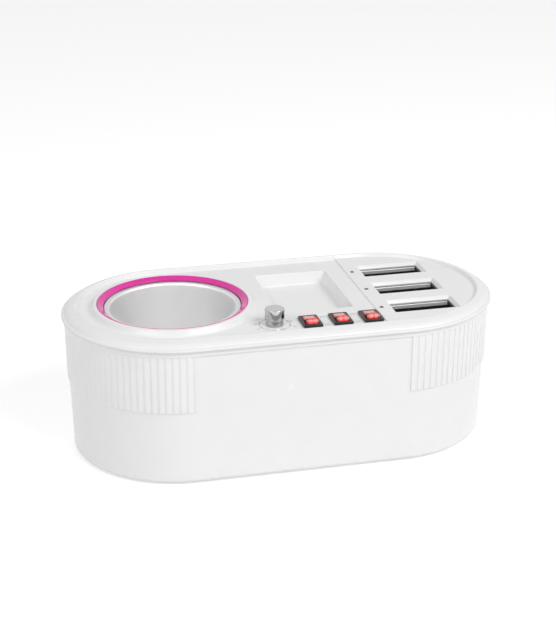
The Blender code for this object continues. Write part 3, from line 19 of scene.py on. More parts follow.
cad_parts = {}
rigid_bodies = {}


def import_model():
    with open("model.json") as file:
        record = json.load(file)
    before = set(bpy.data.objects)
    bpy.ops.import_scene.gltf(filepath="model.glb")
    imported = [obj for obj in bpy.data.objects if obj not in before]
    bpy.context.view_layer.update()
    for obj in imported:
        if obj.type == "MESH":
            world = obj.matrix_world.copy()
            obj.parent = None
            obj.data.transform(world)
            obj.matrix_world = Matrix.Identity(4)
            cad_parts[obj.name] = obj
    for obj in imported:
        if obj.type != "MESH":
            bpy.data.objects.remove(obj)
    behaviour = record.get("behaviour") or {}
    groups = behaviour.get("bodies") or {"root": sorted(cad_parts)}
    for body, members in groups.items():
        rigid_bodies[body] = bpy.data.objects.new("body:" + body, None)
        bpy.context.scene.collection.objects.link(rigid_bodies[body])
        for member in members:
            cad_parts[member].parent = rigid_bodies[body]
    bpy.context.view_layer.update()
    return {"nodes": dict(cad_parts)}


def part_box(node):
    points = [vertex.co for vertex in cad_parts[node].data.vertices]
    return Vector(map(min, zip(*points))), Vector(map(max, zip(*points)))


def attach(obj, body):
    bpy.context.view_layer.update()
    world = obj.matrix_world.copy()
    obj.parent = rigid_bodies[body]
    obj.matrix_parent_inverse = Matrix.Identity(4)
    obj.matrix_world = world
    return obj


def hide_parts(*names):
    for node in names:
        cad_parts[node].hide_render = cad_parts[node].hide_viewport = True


for left_over in list(bpy.data.objects):
    bpy.data.objects.remove(left_over)
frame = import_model()

# %% [markdown]
# ## The camera
#
# A product photographer stands well back and uses a long lens, so that the body doesn't bulge. Here the
# camera stands 1.24 m from the object, turned 13.6 degrees to its left and 21.7 degrees above it, with an
# 87 mm lens. The three axes of its rotation are worked out from those two angles.

# %% Set up the camera
AZIMUTH = math.radians(-13.63)
ELEVATION = math.radians(21.66)
CAMERA_DISTANCE = 1.23925
CAMERA_ASIDE = -0.00077
CAMERA_RISE = 0.02704
AIM = Vector((0.0, 0.0, 0.0645))

back = Vector((math.sin(AZIMUTH) * math.cos(ELEVATION), -math.cos(AZIMUTH) * math.cos(ELEVATION),
               math.sin(ELEVATION)))
right = Vector((math.cos(AZIMUTH), math.sin(AZIMUTH), 0.0))
up = back.cross(right)
camera = bpy.data.objects.new("camera", bpy.data.cameras.new("camera"))
bpy.context.scene.collection.objects.link(camera)
camera.matrix_world = Matrix.Translation(AIM + back * CAMERA_DISTANCE + right * CAMERA_ASIDE + up * CAMERA_RISE) \
    @ Matrix((right, up, back)).transposed().to_4x4()
camera.data.sensor_width = 36.0
camera.data.lens = 86.67
bpy.context.scene.camera = camera
print("camera at", [round(v, 3) for v in camera.matrix_world.translation])

# %% [markdown]
# ## Colours and nodes
#
# Paint charts and photographs give colours as hex codes in sRGB, while Blender mixes light in linear
# values, so one function translates. A second small function adds a shader node with its settings and its
# links in one line, which keeps each material below short enough to read as a recipe.

# %% Two helpers for materials
def linear(code):
    """A hex colour such as "#E0E0E0" as linear red, green, blue and 1.

    In words: a channel c from 0 to 1 becomes c / 12.92 below 0.04045, and otherwise
    ((c + 0.055) / 1.055) to the power of 2.4.
    """
    c = np.array([int(code[i:i + 2], 16) for i in (1, 3, 5)]) / 255
    return (*np.where(c < 0.04045, c / 12.92, ((c + 0.055) / 1.055) ** 2.4), 1.0)


def add(tree, kind, values=None, links=None):
    """Adds one node. A key of values that the node has as a property is set there, and any other key of
    values or links names a socket, or gives its number."""
    node = tree.nodes.new(kind)
    for key, value in (values or {}).items():
        if isinstance(key, str) and hasattr(node, key):
            setattr(node, key, value)
        else:
            node.inputs[key].default_value = value
    for key, source in (links or {}).items():
        tree.links.new(source, node.inputs[key])
    return node


def start_material(name, colour, **sockets):
    """A material with its shader's own sockets set, its node tree, its shader and its Object coordinates."""
    material = bpy.data.materials.new(name)
    material.use_nodes = True
    tree = material.node_tree
    shader = tree.nodes["Principled BSDF"]
    shader.inputs["Base Color"].default_value = linear(colour)
    for socket, value in sockets.items():
        shader.inputs[socket.replace("_", " ")].default_value = value
    place = add(tree, "ShaderNodeTexCoord").outputs["Object"]
    return material, tree, shader, place


# %% [markdown]
# ## White ABS, moulded in a polished tool
#
# The housing and the top cover are injection-moulded ABS. The tool is polished, so the plastic is glossy,
# yet never quite flat: as it cools it shrinks a little unevenly, and reflections ripple over a scale of
# about a centimetre. A slow noise in the bump gives that ripple, a finer one varies the gloss.

# %% Glossy white ABS
RIPPLE_SIZE = 0.012
SMEAR_SIZE = 0.02

glossy_abs, tree, shader, place = start_material("moulded_white_abs", "#F4F4F4", Roughness=0.24, IOR=1.53)
ripple = add(tree, "ShaderNodeTexNoise", {"Scale": 1 / RIPPLE_SIZE, "Detail": 2.0}, {"Vector": place})
bump = add(tree, "ShaderNodeBump", {"Strength": 0.12, "Distance": 0.0002}, {"Height": ripple.outputs["Fac"]})
smear = add(tree, "ShaderNodeTexNoise", {"Scale": 1 / SMEAR_SIZE, "Detail": 3.0}, {"Vector": place})
gloss = add(tree, "ShaderNodeMapRange", {"To Min": 0.2, "To Max": 0.3}, {"Value": smear.outputs["Fac"]})
tint = add(tree, "ShaderNodeMix", {"data_type": "RGBA", 6: linear("#F1F1F1"), 7: linear("#F6F6F6")},
           {0: smear.outputs["Fac"]})
tree.links.new(bump.outputs["Normal"], shader.inputs["Normal"])
tree.links.new(gloss.outputs["Result"], shader.inputs["Roughness"])
tree.links.new(tint.outputs[2], shader.inputs["Base Color"])

# %% [markdown]
# ## Pink acrylic
#
# The ring round the pot is cast acrylic, dyed right through. Light enters it and comes out again nearby,
# which makes thin edges glow paler than the broad slope. A little scattering under the surface does that,
# and a clear, low roughness keeps the hard highlight of polished acrylic.

# %% Pink acrylic
FLOW_SIZE = 0.03

pink_acrylic, tree, shader, place = start_material("dyed_pink_acrylic", "#E81CA4", Roughness=0.1, IOR=1.49,
                                                   Subsurface_Weight=0.25, Subsurface_Scale=0.002)
flow = add(tree, "ShaderNodeTexNoise", {"Scale": 1 / FLOW_SIZE, "Detail": 1.0}, {"Vector": place})
dye = add(tree, "ShaderNodeMix", {"data_type": "RGBA", 6: linear("#DE159C"), 7: linear("#F02AAE")},
          {0: flow.outputs["Fac"]})
tree.links.new(dye.outputs[2], shader.inputs["Base Color"])

# %% [markdown]
# ## Metals
#
# Three metals show or could show. The pot is drawn aluminium with a satin, finely blasted skin, so it
# scatters light softly, and its lip is painted greyer than the rest, a painted shade on the flange. The knob
# is chrome plate on brass, nearly a mirror. Screws, bracket and nut are zinc-plated steel. A metal's colour is
# that of its reflection, so each recipe has metallic 1 and differs in roughness and in its surface's grain.

# %% Satin aluminium, chrome and zinc
GRIT = 0.0007
# Heights between which the pot's lip is painted greyer, a painted shade on the flange.
LIP_STARTS = 0.1135
LIP_TOP = 0.1149
PLATE_RIPPLE = 0.004
SPANGLE_SIZE = 0.0015

satin_aluminium, tree, shader, place = start_material("blasted_drawn_aluminium", "#FAFAFA", Metallic=1.0,
                                                      Roughness=0.42)
grit = add(tree, "ShaderNodeTexNoise", {"Scale": 1 / GRIT, "Detail": 3.0}, {"Vector": place})
blast = add(tree, "ShaderNodeBump", {"Strength": 0.35, "Distance": 0.00008}, {"Height": grit.outputs["Fac"]})
dull = add(tree, "ShaderNodeMapRange", {"To Min": 0.36, "To Max": 0.5}, {"Value": grit.outputs["Fac"]})
height = add(tree, "ShaderNodeSeparateXYZ", links={"Vector": place})
# Painted shade: up the lip the pot turns from its own bright grey to a darker grey.
lip_shade = add(tree, "ShaderNodeMapRange", {"From Min": LIP_STARTS, "From Max": LIP_TOP},
             {"Value": height.outputs["Z"]})
skin = add(tree, "ShaderNodeMix", {"data_type": "RGBA", 6: linear("#FAFAFA"), 7: linear("#D2D2D2")},
           {0: lip_shade.outputs["Result"]})
tree.links.new(skin.outputs[2], shader.inputs["Base Color"])
tree.links.new(blast.outputs["Normal"], shader.inputs["Normal"])
tree.links.new(dull.outputs["Result"], shader.inputs["Roughness"])

chrome_plate, tree, shader, place = start_material("chrome_plate", "#BCBCBE", Metallic=1.0, Roughness=0.06)
plate = add(tree, "ShaderNodeTexNoise", {"Scale": 1 / PLATE_RIPPLE, "Detail": 1.0}, {"Vector": place})
mirror = add(tree, "ShaderNodeMapRange", {"To Min": 0.04, "To Max": 0.09}, {"Value": plate.outputs["Fac"]})
tree.links.new(mirror.outputs["Result"], shader.inputs["Roughness"])

zinc_plate, tree, shader, place = start_material("zinc_plated_steel", "#C9C8C3", Metallic=1.0, Roughness=0.35)
spangle = add(tree, "ShaderNodeTexVoronoi", {"Scale": 1 / SPANGLE_SIZE}, {"Vector": place})
zinc = add(tree, "ShaderNodeMix", {"data_type": "RGBA", 6: linear("#BDBCB6"), 7: linear("#D4D3CF")},
           {0: spangle.outputs["Color"]})
tree.links.new(zinc.outputs[2], shader.inputs["Base Color"])

# %% [markdown]
# ## Dark and coloured plastics
#
# The switch frames and the mains inlet are black nylon, textured so finely that they look satin. The
# rockers and the lamps are red polycarbonate that a small neon lamp would shine through. Feet are rubber.
# Each gets the grain of its own surface, at the size that it has.

# %% Nylon, polycarbonate and rubber
SPARK_GRAIN = 0.0003
RUBBER_GRAIN = 0.0009

black_nylon, tree, shader, place = start_material("spark_textured_black_nylon", "#161618", Roughness=0.34)
spark = add(tree, "ShaderNodeTexNoise", {"Scale": 1 / SPARK_GRAIN, "Detail": 2.0}, {"Vector": place})
pits = add(tree, "ShaderNodeBump", {"Strength": 0.2, "Distance": 0.00004}, {"Height": spark.outputs["Fac"]})
tree.links.new(pits.outputs["Normal"], shader.inputs["Normal"])
shade = add(tree, "ShaderNodeMapRange", {"To Min": 0.28, "To Max": 0.42}, {"Value": spark.outputs["Fac"]})
tree.links.new(shade.outputs["Result"], shader.inputs["Roughness"])


def polycarbonate(name, shallow, deep, glow):
    """Red polycarbonate, darker where it is deep, with the faint light of the lamp behind it."""
    material, tree, shader, place = start_material(name, shallow, Roughness=0.14, IOR=1.58,
                                                   Emission_Color=linear(shallow), Emission_Strength=glow)
    swirl = add(tree, "ShaderNodeTexNoise", {"Scale": 1 / RIPPLE_SIZE, "Detail": 2.0}, {"Vector": place})
    depth = add(tree, "ShaderNodeMix", {"data_type": "RGBA", 6: linear(shallow), 7: linear(deep)},
                {0: swirl.outputs["Fac"]})
    tree.links.new(depth.outputs[2], shader.inputs["Base Color"])
    return material


rocker_red = polycarbonate("red_polycarbonate", "#9A1216", "#7A0C10", 0.05)
marker_red = polycarbonate("bright_red_polycarbonate", "#FF564E", "#FF463E", 0.35)
# Painted highlight: the ridges are painted pale pink with a faint glow so that they read as lit crests.
ridge_painted_highlight = polycarbonate("pale_pink_painted_highlight", "#E8A8A0", "#DC988F", 0.1)
lamp_red = polycarbonate("dark_red_lamp_lens", "#7C1E2A", "#64141F", 0.0)

foot_rubber, tree, shader, place = start_material("moulded_foot_rubber", "#2A2A2A", Roughness=0.75)
grain = add(tree, "ShaderNodeTexNoise", {"Scale": 1 / RUBBER_GRAIN, "Detail": 4.0}, {"Vector": place})
skin = add(tree, "ShaderNodeBump", {"Strength": 0.4, "Distance": 0.0001}, {"Height": grain.outputs["Fac"]})
tree.links.new(skin.outputs["Normal"], shader.inputs["Normal"])

# %% [markdown]
# ## Profiles with soft corners
#
# Nothing that is moulded, drawn or turned has a truly sharp corner, and the thin highlight along a rounded
# edge is what makes a render look solid. So every profile here is a short list of corners, each with its
# own softness, and one function rounds them. A corner may carry extra numbers along, such as a width.

# %% Round the corners of a profile
def softened(corners, steps=4):
    """An open profile through corners that each end in their softness.

    In words: a corner C gives way to the curve (1 - t)^2 A + 2 t (1 - t) C + t^2 B for t from 0 to 1,
    where A and B lie the softness away from C on the way to the corners before and after it.
    """
    corners = np.array(corners, float)
    at = corners[:, :-1]
    soft = corners[:, -1:]

    def towards(other):
        step = other - at
        length = np.maximum(np.linalg.norm(step[:, :2], axis=1, keepdims=True), 1e-9)
        return at + step / length * np.minimum(soft, 0.49 * length)

    a = towards(np.roll(at, 1, 0))[:, None]
    b = towards(np.roll(at, -1, 0))[:, None]
    t = np.linspace(0, 1, steps + 1)[None, :, None]
    curve = ((1 - t) ** 2 * a + 2 * t * (1 - t) * at[:, None] + t ** 2 * b).reshape(-1, at.shape[1])
    moved = np.linalg.norm(np.diff(curve, axis=0), axis=1) > 1e-7
    return curve[np.concatenate([[True], moved])]


# %% [markdown]
# ## Three ways to carry a profile
#
# A profile of (distance in, height) pairs becomes a surface when it is carried round something. Round an
# axis it makes the pot, round the body's own outline it makes the housing and the rim, and round a
# rectangle with round corners it makes the tray and the wells. All three return a grid of points.

# %% Turn, sweep and frame
END_X = 0.0832
END_RADIUS = 0.088


def turned(profile, centre, steps=128):
    """Carries (radius r, height z) pairs round a vertical axis: x = cx + r cos a and y = cy + r sin a."""
    a = np.arange(steps) * 2 * np.pi / steps
    r, z = profile[:, 0:1], profile[:, 1:2]
    return np.stack([centre[0] + r * np.cos(a), centre[1] + r * np.sin(a), z + 0 * a], -1)


def swept(inset, z, path):
    """Carries points round the body. path has rows of (middle x, angle a): the point stands
    R - inset out from the middle line, x = mx + (R - inset) cos a and y = (R - inset) sin a."""
    r = END_RADIUS - inset
    return np.stack([path[:, 0] + r * np.cos(path[:, 1]), r * np.sin(path[:, 1]), z + 0 * r * path[:, 0]], -1)


def framed(rows, centre, steps=6):
    """Carries (half length h, height z, half width w, corner c) rows round a rectangle: each quarter turn
    is centred h - c and w - c from the middle, and its points stand c out from there."""
    a = np.concatenate([np.linspace(q, q + 1, steps + 1) * np.pi / 2 for q in range(4)])
    sx = np.repeat([1, -1, -1, 1], steps + 1)
    sy = np.repeat([1, 1, -1, -1], steps + 1)
    h, z, w, c = (rows[:, i:i + 1] for i in range(4))
    return np.stack([centre[0] + sx * (h - c) + c * np.cos(a), centre[1] + sy * (w - c) + c * np.sin(a),
                     z + 0 * a], -1)


# %% [markdown]
# ## From grids to meshes
#
# A grid of points becomes a mesh once its neighbours are joined in fours, and a flat part with holes is
# cut into triangles between its outlines. One function gathers the grids and flats of a piece, welds them
# where they meet, turns the faces outwards, and puts the result in the scene on the body that it rides.

# %% Build a piece from grids and flats
def grid_faces(rows, columns, start, wrap_rows, wrap_columns):
    """Quads between neighbours of a grid: (i, j), (i, j + 1), (i + 1, j + 1) and (i + 1, j)."""
    index = start + np.arange(rows * columns).reshape(rows, columns)
    if wrap_rows:
        index = np.concatenate([index, index[:1]])
    if wrap_columns:
        index = np.concatenate([index, index[:, :1]], 1)
    return np.stack([index[:-1, :-1], index[:-1, 1:], index[1:, 1:], index[1:, :-1]], -1).reshape(-1, 4)


def flat_with_holes(outlines, z):
    """Triangles that fill the space between the first outline and the holes that the others cut."""
    points = np.concatenate([outline[:, :2] for outline in outlines])
    starts = np.cumsum([0] + [len(outline) for outline in outlines])
    rings = [list(range(a, b)) for a, b in zip(starts, starts[1:])]
    found = delaunay_2d_cdt([Vector(p) for p in points], [], rings, 2, 1e-7)
    flat = np.array([tuple(v) for v in found[0]])
    return np.concatenate([flat, np.full((len(flat), 1), z)], 1), found[2]


def mesh_piece(name, grids=(), flats=(), gaps=None, outward=True):
    """One mesh object of closed or open grids, each (points, wrap_rows), and flats, each (points, faces)."""
    points, faces, start = [], [], 0
    for grid, wrap_rows in grids:
        rows, columns = grid.shape[:2]
        quads = grid_faces(rows, columns, start, wrap_rows, True)
        points.append(grid.reshape(-1, 3))
        faces += quads.tolist()
        start += rows * columns
    for vertices, polygons in flats:
        points.append(vertices)
        faces += [[start + i for i in polygon] for polygon in polygons]
        start += len(vertices)
    if gaps is not None:
        faces = gaps(np.concatenate(points), faces)
    mesh = bpy.data.meshes.new(name)
    mesh.from_pydata(np.concatenate(points).tolist(), [], faces)
    tidy = bmesh.new()
    tidy.from_mesh(mesh)
    bmesh.ops.remove_doubles(tidy, verts=tidy.verts, dist=2e-6)
    bmesh.ops.dissolve_degenerate(tidy, edges=tidy.edges, dist=1e-7)
    if outward:
        bmesh.ops.recalc_face_normals(tidy, faces=tidy.faces)
    tidy.to_mesh(mesh)
    tidy.free()
    piece = bpy.data.objects.new(name, mesh)
    bpy.context.scene.collection.objects.link(piece)
    return piece


def finish_piece(piece, material, body, slot, *nodes, sharp=32.0):
    """Shades a piece, gives it its finish, ties it to its body and hides the nodes that it stands for."""
    piece.data.shade_smooth()
    piece.data.set_sharp_from_angle(angle=math.radians(sharp))
    piece.data.materials.clear()
    piece.data.materials.append(material)
    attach(piece, body)
    if nodes:
        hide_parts(*nodes)
    print(piece.name, len(piece.data.polygons), "faces on", body)
    return piece


# %% [markdown]
# ## The housing and its grip ribs
#
# The housing is a tall tub without a bottom, moulded with a slight draft so that it leaves its tool. Each
# round end carries fifty low ribs as a grip. The whole wall is one grid: its rows climb the outside and go
# down the inside, and its columns run round the body. A third number on each row says how much of the rib
# pattern the row takes, so the ribs grow out of the wall without any cutting.

# %% The path round the body, with ten columns to each rib
RIB_COUNT = 50
RIB_SHARES = np.array([0.0, 0.31, 0.60, 0.635, 0.67, 0.705, 0.74, 0.88, 0.92, 0.96])
RIB_DEPTH = 0.0007
EDGE = 0.0001
INLET_WINDOW_HALF = 0.0138

rib_turn = ((np.arange(RIB_COUNT)[:, None] + RIB_SHARES) / RIB_COUNT).ravel()
rib_turn = np.append(rib_turn, 1.0)


def smooth_step(t):
    """3 t^2 - 2 t^3 for t held between 0 and 1."""
    t = np.clip(t, 0, 1)
    return t * t * (3 - 2 * t)


def groove(turn):
    """How deep the groove beside a rib is at a share of the half turn: it falls from 0 to 1 between 62 and
    72 hundredths of each pitch, and rises back to 0 in the last tenth. The last rib has no groove."""
    share = (turn * RIB_COUNT) % 1.0
    depth = smooth_step((share - 0.62) / 0.1) - smooth_step((share - 0.9) / 0.1)
    return np.where(turn * RIB_COUNT < RIB_COUNT - 1, depth, 0.0)


back_x = np.array([END_X - EDGE, 0.06, INLET_WINDOW_HALF, -INLET_WINDOW_HALF, -0.06, EDGE - END_X])
front_x = np.linspace(EDGE - END_X, END_X - EDGE, 6)
housing_path = np.concatenate([
    np.stack([np.full(rib_turn.shape, END_X), (rib_turn - 0.5) * np.pi], 1),
    np.stack([back_x, np.full(back_x.shape, np.pi / 2)], 1),
    np.stack([np.full(rib_turn.shape, -END_X), (0.5 + rib_turn) * np.pi], 1),
    np.stack([front_x, np.full(front_x.shape, -np.pi / 2)], 1)])
rib_mask = np.concatenate([1 + 0 * rib_turn, 0 * back_x, 1 + 0 * rib_turn, 0 * front_x])
rib_groove = np.concatenate([groove(rib_turn), 0 * back_x, groove(rib_turn[::-1]), 0 * front_x])
print("columns round the housing:", len(housing_path))

# %% The housing wall
HOUSING_BOTTOM = 0.0025
BAND_BOTTOM = 0.1065
HOUSING_TOP = 0.1108
BAND_INSET = 0.0015
WALL = 0.0025
RIB_BOTTOM = 0.0612
WINDOW_LOW = 0.0237
WINDOW_HIGH = 0.0443
BASE_SEAT = 0.0058
LEDGE_TOP = 0.0078


def wall_inset(z):
    """How far the drafted wall stands inside the outline: 2.5 mm under the band and 2.8 mm more at the foot."""
    return 0.0025 + 0.0028 * (BAND_BOTTOM - z) / (BAND_BOTTOM - HOUSING_BOTTOM)


outside = softened([
    (0.0090, BASE_SEAT, 0, 0),
    (0.0090, HOUSING_BOTTOM, 0, 0.0002),
    (wall_inset(HOUSING_BOTTOM), HOUSING_BOTTOM, 0, 0.003),
    (wall_inset(WINDOW_LOW), WINDOW_LOW, 0, 0),
    (wall_inset(WINDOW_HIGH), WINDOW_HIGH, 0, 0),
    (wall_inset(RIB_BOTTOM - 0.0001), RIB_BOTTOM - 0.0001, 0, 0),
    (wall_inset(RIB_BOTTOM), RIB_BOTTOM, 0.8, 0),
    (wall_inset(RIB_BOTTOM + 0.0003), RIB_BOTTOM + 0.0003, 1, 0),
    (wall_inset(BAND_BOTTOM), BAND_BOTTOM, 1, 0),
    (BAND_INSET, BAND_BOTTOM, 0, 0.0003),
    (BAND_INSET, HOUSING_TOP, 0, 0.0005),
    (BAND_INSET + WALL, HOUSING_TOP, 0, 0.0002),
    (BAND_INSET + WALL, BAND_BOTTOM, 0, 0.0005),
    (wall_inset(WINDOW_HIGH) + WALL, WINDOW_HIGH, 0, 0),
    (wall_inset(WINDOW_LOW) + WALL, WINDOW_LOW, 0, 0),
    (wall_inset(LEDGE_TOP) + WALL, LEDGE_TOP, 0, 0.0005),
    (0.0120, LEDGE_TOP, 0, 0.0002),
    (0.0120, BASE_SEAT, 0, 0.0002),
    (0.0090 + EDGE, BASE_SEAT, 0, 0)])
inset, height, ribbed = (outside[:, i:i + 1] for i in range(3))
proud = 0.0008 + 0.0005 * (BAND_BOTTOM - height) / (BAND_BOTTOM - RIB_BOTTOM)
lift = ribbed * rib_mask * (proud - RIB_DEPTH * rib_groove)
housing_grid = swept(inset - lift, height, housing_path)


def open_window(points, faces):
    """Takes out the two faces that the inlet passes through and joins their edges, corner to corner."""
    corners = points[np.array(faces)]
    middle = corners.mean(1)
    through = ((np.abs(middle[:, 0]) < EDGE) & (middle[:, 1] > 0)
               & (np.abs(middle[:, 2] - (WINDOW_LOW + WINDOW_HIGH) / 2) < EDGE))
    outer, inner = (faces[i] for i in np.flatnonzero(through))
    match = [inner[np.argmin(np.linalg.norm(points[inner][:, ::2] - points[i][::2], axis=1))] for i in outer]
    sides = [[outer[k], outer[(k + 1) % 4], match[(k + 1) % 4], match[k]] for k in range(4)]
    return [face for face, gone in zip(faces, through) if not gone] + sides


housing = mesh_piece("housing", [(housing_grid, True)], gaps=open_window)
finish_piece(housing, glossy_abs, "casing", "white_abs", "housing_shell", sharp=28.0)

# %% [markdown]
# ## The top cover
#
# The cover is one moulding too: rim, deck, collar, tray and well mouths. A mould gives such a part one
# wall thickness, so the way to model it is as a single skin that a Solidify modifier then thickens. The
# skin is sewn from grids for everything that is carried round a path and from flats for the decks
# between. They share their edge points exactly, and welding them leaves no seam.

# %% Rim of the cover, down to the deck
DECK = 0.1145
MAIN_DECK = 0.1135
STRIP_DECK = 0.1132
SEAM = 0.1113
STEP_X = 0.06695
STEP_EDGE = 0.0005
TONGUE = 0.0043
TONGUE_BOTTOM = 0.1068
RIM_RADIUS = 0.009
DECK_INSET = 0.0129

end_turn = np.linspace(-0.5, 0.5, 91) * np.pi
step_x = STEP_X + STEP_EDGE * np.linspace(-0.5, 0.5, 9)
rim_x = np.concatenate([np.linspace(-0.078, 0.06, 24), step_x, [0.072, 0.078]])
rim_path = np.concatenate([
    np.stack([np.full(end_turn.shape, END_X), end_turn], 1),
    np.stack([rim_x[::-1], np.full(rim_x.shape, np.pi / 2)], 1),
    np.stack([np.full(end_turn.shape, -END_X), end_turn + np.pi], 1),
    np.stack([rim_x, np.full(rim_x.shape, -np.pi / 2)], 1)])


def deck_height(x):
    """The main deck's height, rising by 1 mm over the step to the cartridge deck."""
    return MAIN_DECK + (DECK - MAIN_DECK) * smooth_step((x - STEP_X) / STEP_EDGE + 0.5)


arc_centre = DECK + 0.002 - RIM_RADIUS
arc_start = math.asin((SEAM + 0.0003 - arc_centre) / RIM_RADIUS)
arc = np.linspace(arc_start, math.radians(74), 12)
under = softened([(TONGUE, TONGUE_BOTTOM, 0, 0), (TONGUE, SEAM, 0, 0.0002),
                  (RIM_RADIUS * (1 - math.cos(arc_start)) + 0.0001, SEAM, 0, 0.0003)])
over = np.stack([RIM_RADIUS * (1 - np.cos(arc)), arc_centre + RIM_RADIUS * np.sin(arc), 0 * arc], 1)
crest = softened([(over[-1, 0], over[-1, 1], 0, 0), (0.0106, DECK + 0.0029, 0, 0.0007),
                  (0.0112, DECK + 0.0023, 0.0, 0.0004), (0.0124, MAIN_DECK, 1.0, 0.0007),
                  (DECK_INSET, MAIN_DECK, 1.0, 0)], steps=5)
rim = np.concatenate([under, over[:-1], crest])
deck_rise = deck_height(rim_path[:, 0] + 0 * rim[:, :1]) - MAIN_DECK
rim_grid = swept(rim[:, 0:1], rim[:, 1:2] + rim[:, 2:3] * deck_rise, rim_path)
foot = rim_grid[-1]
print("rim grid:", rim_grid.shape[:2])

# %% [markdown]
# ### Collar, tray and well mouths
#
# Each of these starts from an outline in the deck and goes up or down from it. The collar rises in a soft
# wave round the pot's opening, the tray's walls lean out a little towards its mouth so that the moulding
# leaves its tool, and each well has a bevelled mouth that guides the cartridge in.

# %% Collar, tray, well mouths and small openings
POT = (-0.08515, 0.0)
TRAY = (0.02185, 0.0102)
TRAY_FLOOR = 0.1035
WELL_X = 0.10585
WELL_Y = (0.0412, 0.0, -0.0412)
SWITCH_X = (0.01085, 0.03465, 0.05845)
SWITCH_Y = -0.0567
DIAL = (-0.01645, -0.0539)
LED_X = 0.07195

collar = softened([(0.0657, MAIN_DECK, 0), (0.0647, MAIN_DECK, 0.0009), (0.0632, MAIN_DECK + 0.0013, 0.0016),
                   (0.0616, 0.1180, 0.0018), (0.0603, 0.1184, 0.0008), (0.0589, 0.1184, 0.0003),
                   (0.0589, 0.1150, 0.0002), (0.0560, 0.1150, 0.0003), (0.0560, 0.1110, 0)], steps=6)
collar_grid = turned(collar, POT, 180)

tray = softened([(0.0305, MAIN_DECK, 0.04335, 0.0034, 0), (0.0299, MAIN_DECK, 0.04275, 0.0030, 0.0006),
                 (0.0273, TRAY_FLOOR, 0.04015, 0.0020, 0.0012), (0.0255, TRAY_FLOOR, 0.03835, 0.0010, 0)])
tray_grid = framed(tray, TRAY)

mouth = [(0.0269, DECK, 0.0137, 0.0012, 0), (0.0265, DECK, 0.0133, 0.0009, 0.0002),
         (0.0245, 0.1119, 0.0113, 0.0007, 0.0002), (0.0245, 0.1103, 0.0113, 0.0007, 0)]
mouth_grids = [framed(softened(mouth), (WELL_X, y), 4) for y in WELL_Y]

strip = softened([(0.0520, MAIN_DECK, 0.0158, 0.0083, 0), (0.0517, MAIN_DECK, 0.0155, 0.0080, 0.0002),
                  (0.0514, STRIP_DECK, 0.0152, 0.0077, 0.0002), (0.0511, STRIP_DECK, 0.0149, 0.0074, 0)])
strip_grid = framed(strip, (0.01465, -0.0570), 10)

lamp_holes = [turned(np.array([[0.0018, DECK], [0.0017, DECK - 0.0001], [0.0017, DECK - 0.002]]), (LED_X, y), 24)
              for y in WELL_Y]
dial_hole = turned(np.array([[0.0048, STRIP_DECK], [0.0048, STRIP_DECK - 0.002]]), DIAL, 32)
switch_holes = [framed(np.array([[0.0067, STRIP_DECK, 0.0102, 0.0004], [0.0067, STRIP_DECK - 0.002, 0.0102, 0.0004]]),
                       (x, SWITCH_Y), 2) for x in SWITCH_X]

# %% The flats between them
low_x, high_x = step_x[0] + 1e-6, step_x[-1] - 1e-6
front, rear = foot[:, 1].min(), foot[:, 1].max()
step_y = np.linspace(front, rear, 9)
step_grid = np.stack([np.repeat(step_x[:, None], 9, 1), np.repeat(step_y[None], 9, 0),
                      np.repeat(deck_height(step_x)[:, None], 9, 1)], -1)
step_sheet = step_grid.reshape(-1, 3), grid_faces(9, 9, 0, False, False).tolist()


def half_outline(keep, edge):
    """The rim's foot on one side of the step, closed along the step's own edge."""
    kept = foot[keep]
    first = np.flatnonzero(keep & ~np.roll(keep, 1))[0]
    order = np.roll(np.arange(len(foot)), -first)
    kept = foot[order[keep[order]]]
    inner = edge[1:-1] if np.linalg.norm(kept[-1, :2] - edge[0, :2]) < np.linalg.norm(kept[-1, :2] - edge[-1, :2]) \
        else edge[-2:0:-1]
    return np.concatenate([kept, inner])


main_flat = flat_with_holes([half_outline(foot[:, 0] < low_x, step_grid[0]), collar_grid[0], tray_grid[0],
                             strip_grid[0]], MAIN_DECK)
well_flat = flat_with_holes([half_outline(foot[:, 0] > high_x, step_grid[-1])] + [g[0] for g in mouth_grids]
                            + [g[0] for g in lamp_holes], DECK)
strip_flat = flat_with_holes([strip_grid[-1], dial_hole[0]] + [g[0] for g in switch_holes], STRIP_DECK)
tray_flat = flat_with_holes([tray_grid[-1]], TRAY_FLOOR)
sheets = [main_flat, well_flat, strip_flat, tray_flat, step_sheet]
print("flats:", [len(sheet[1]) for sheet in sheets])

# %% Sew the skin and give it its wall
WALL_OF_COVER = 0.0016

cover = mesh_piece("top_cover", [(grid, False) for grid in [rim_grid, collar_grid, tray_grid, strip_grid, dial_hole]
                                 + mouth_grids + lamp_holes + switch_holes], sheets)
thick = cover.modifiers.new("wall", "SOLIDIFY")
thick.thickness = WALL_OF_COVER
thick.offset = -1.0
finish_piece(cover, glossy_abs, "casing", "white_abs", "top_panel", sharp=30.0)

# %% [markdown]
# ## Ring, pot and heating chamber
#
# All three are round, so each is one profile turned about the pot's axis. The ring slopes in towards the
# pot like a funnel, which guides drips back into the wax. The pot hangs by its flange, and its lip stands
# a little above it. The chamber below is the warm bucket that the pot lowers into.

# %% Ring, pot and chamber
ring = softened([(0.0560, 0.1153, 0), (0.0586, 0.1153, 0.0002), (0.0586, 0.1183, 0.0004), (0.0577, 0.1183, 0.0004),
                 (0.0536, 0.1160, 0.0003), (0.0536, 0.1153, 0.0001), (0.0559, 0.1153, 0)], steps=5)
finish_piece(mesh_piece("acrylic_ring", [(turned(ring, POT, 180), True)]), pink_acrylic, "casing",
             "pink_acrylic", "pot_ring", sharp=40.0)

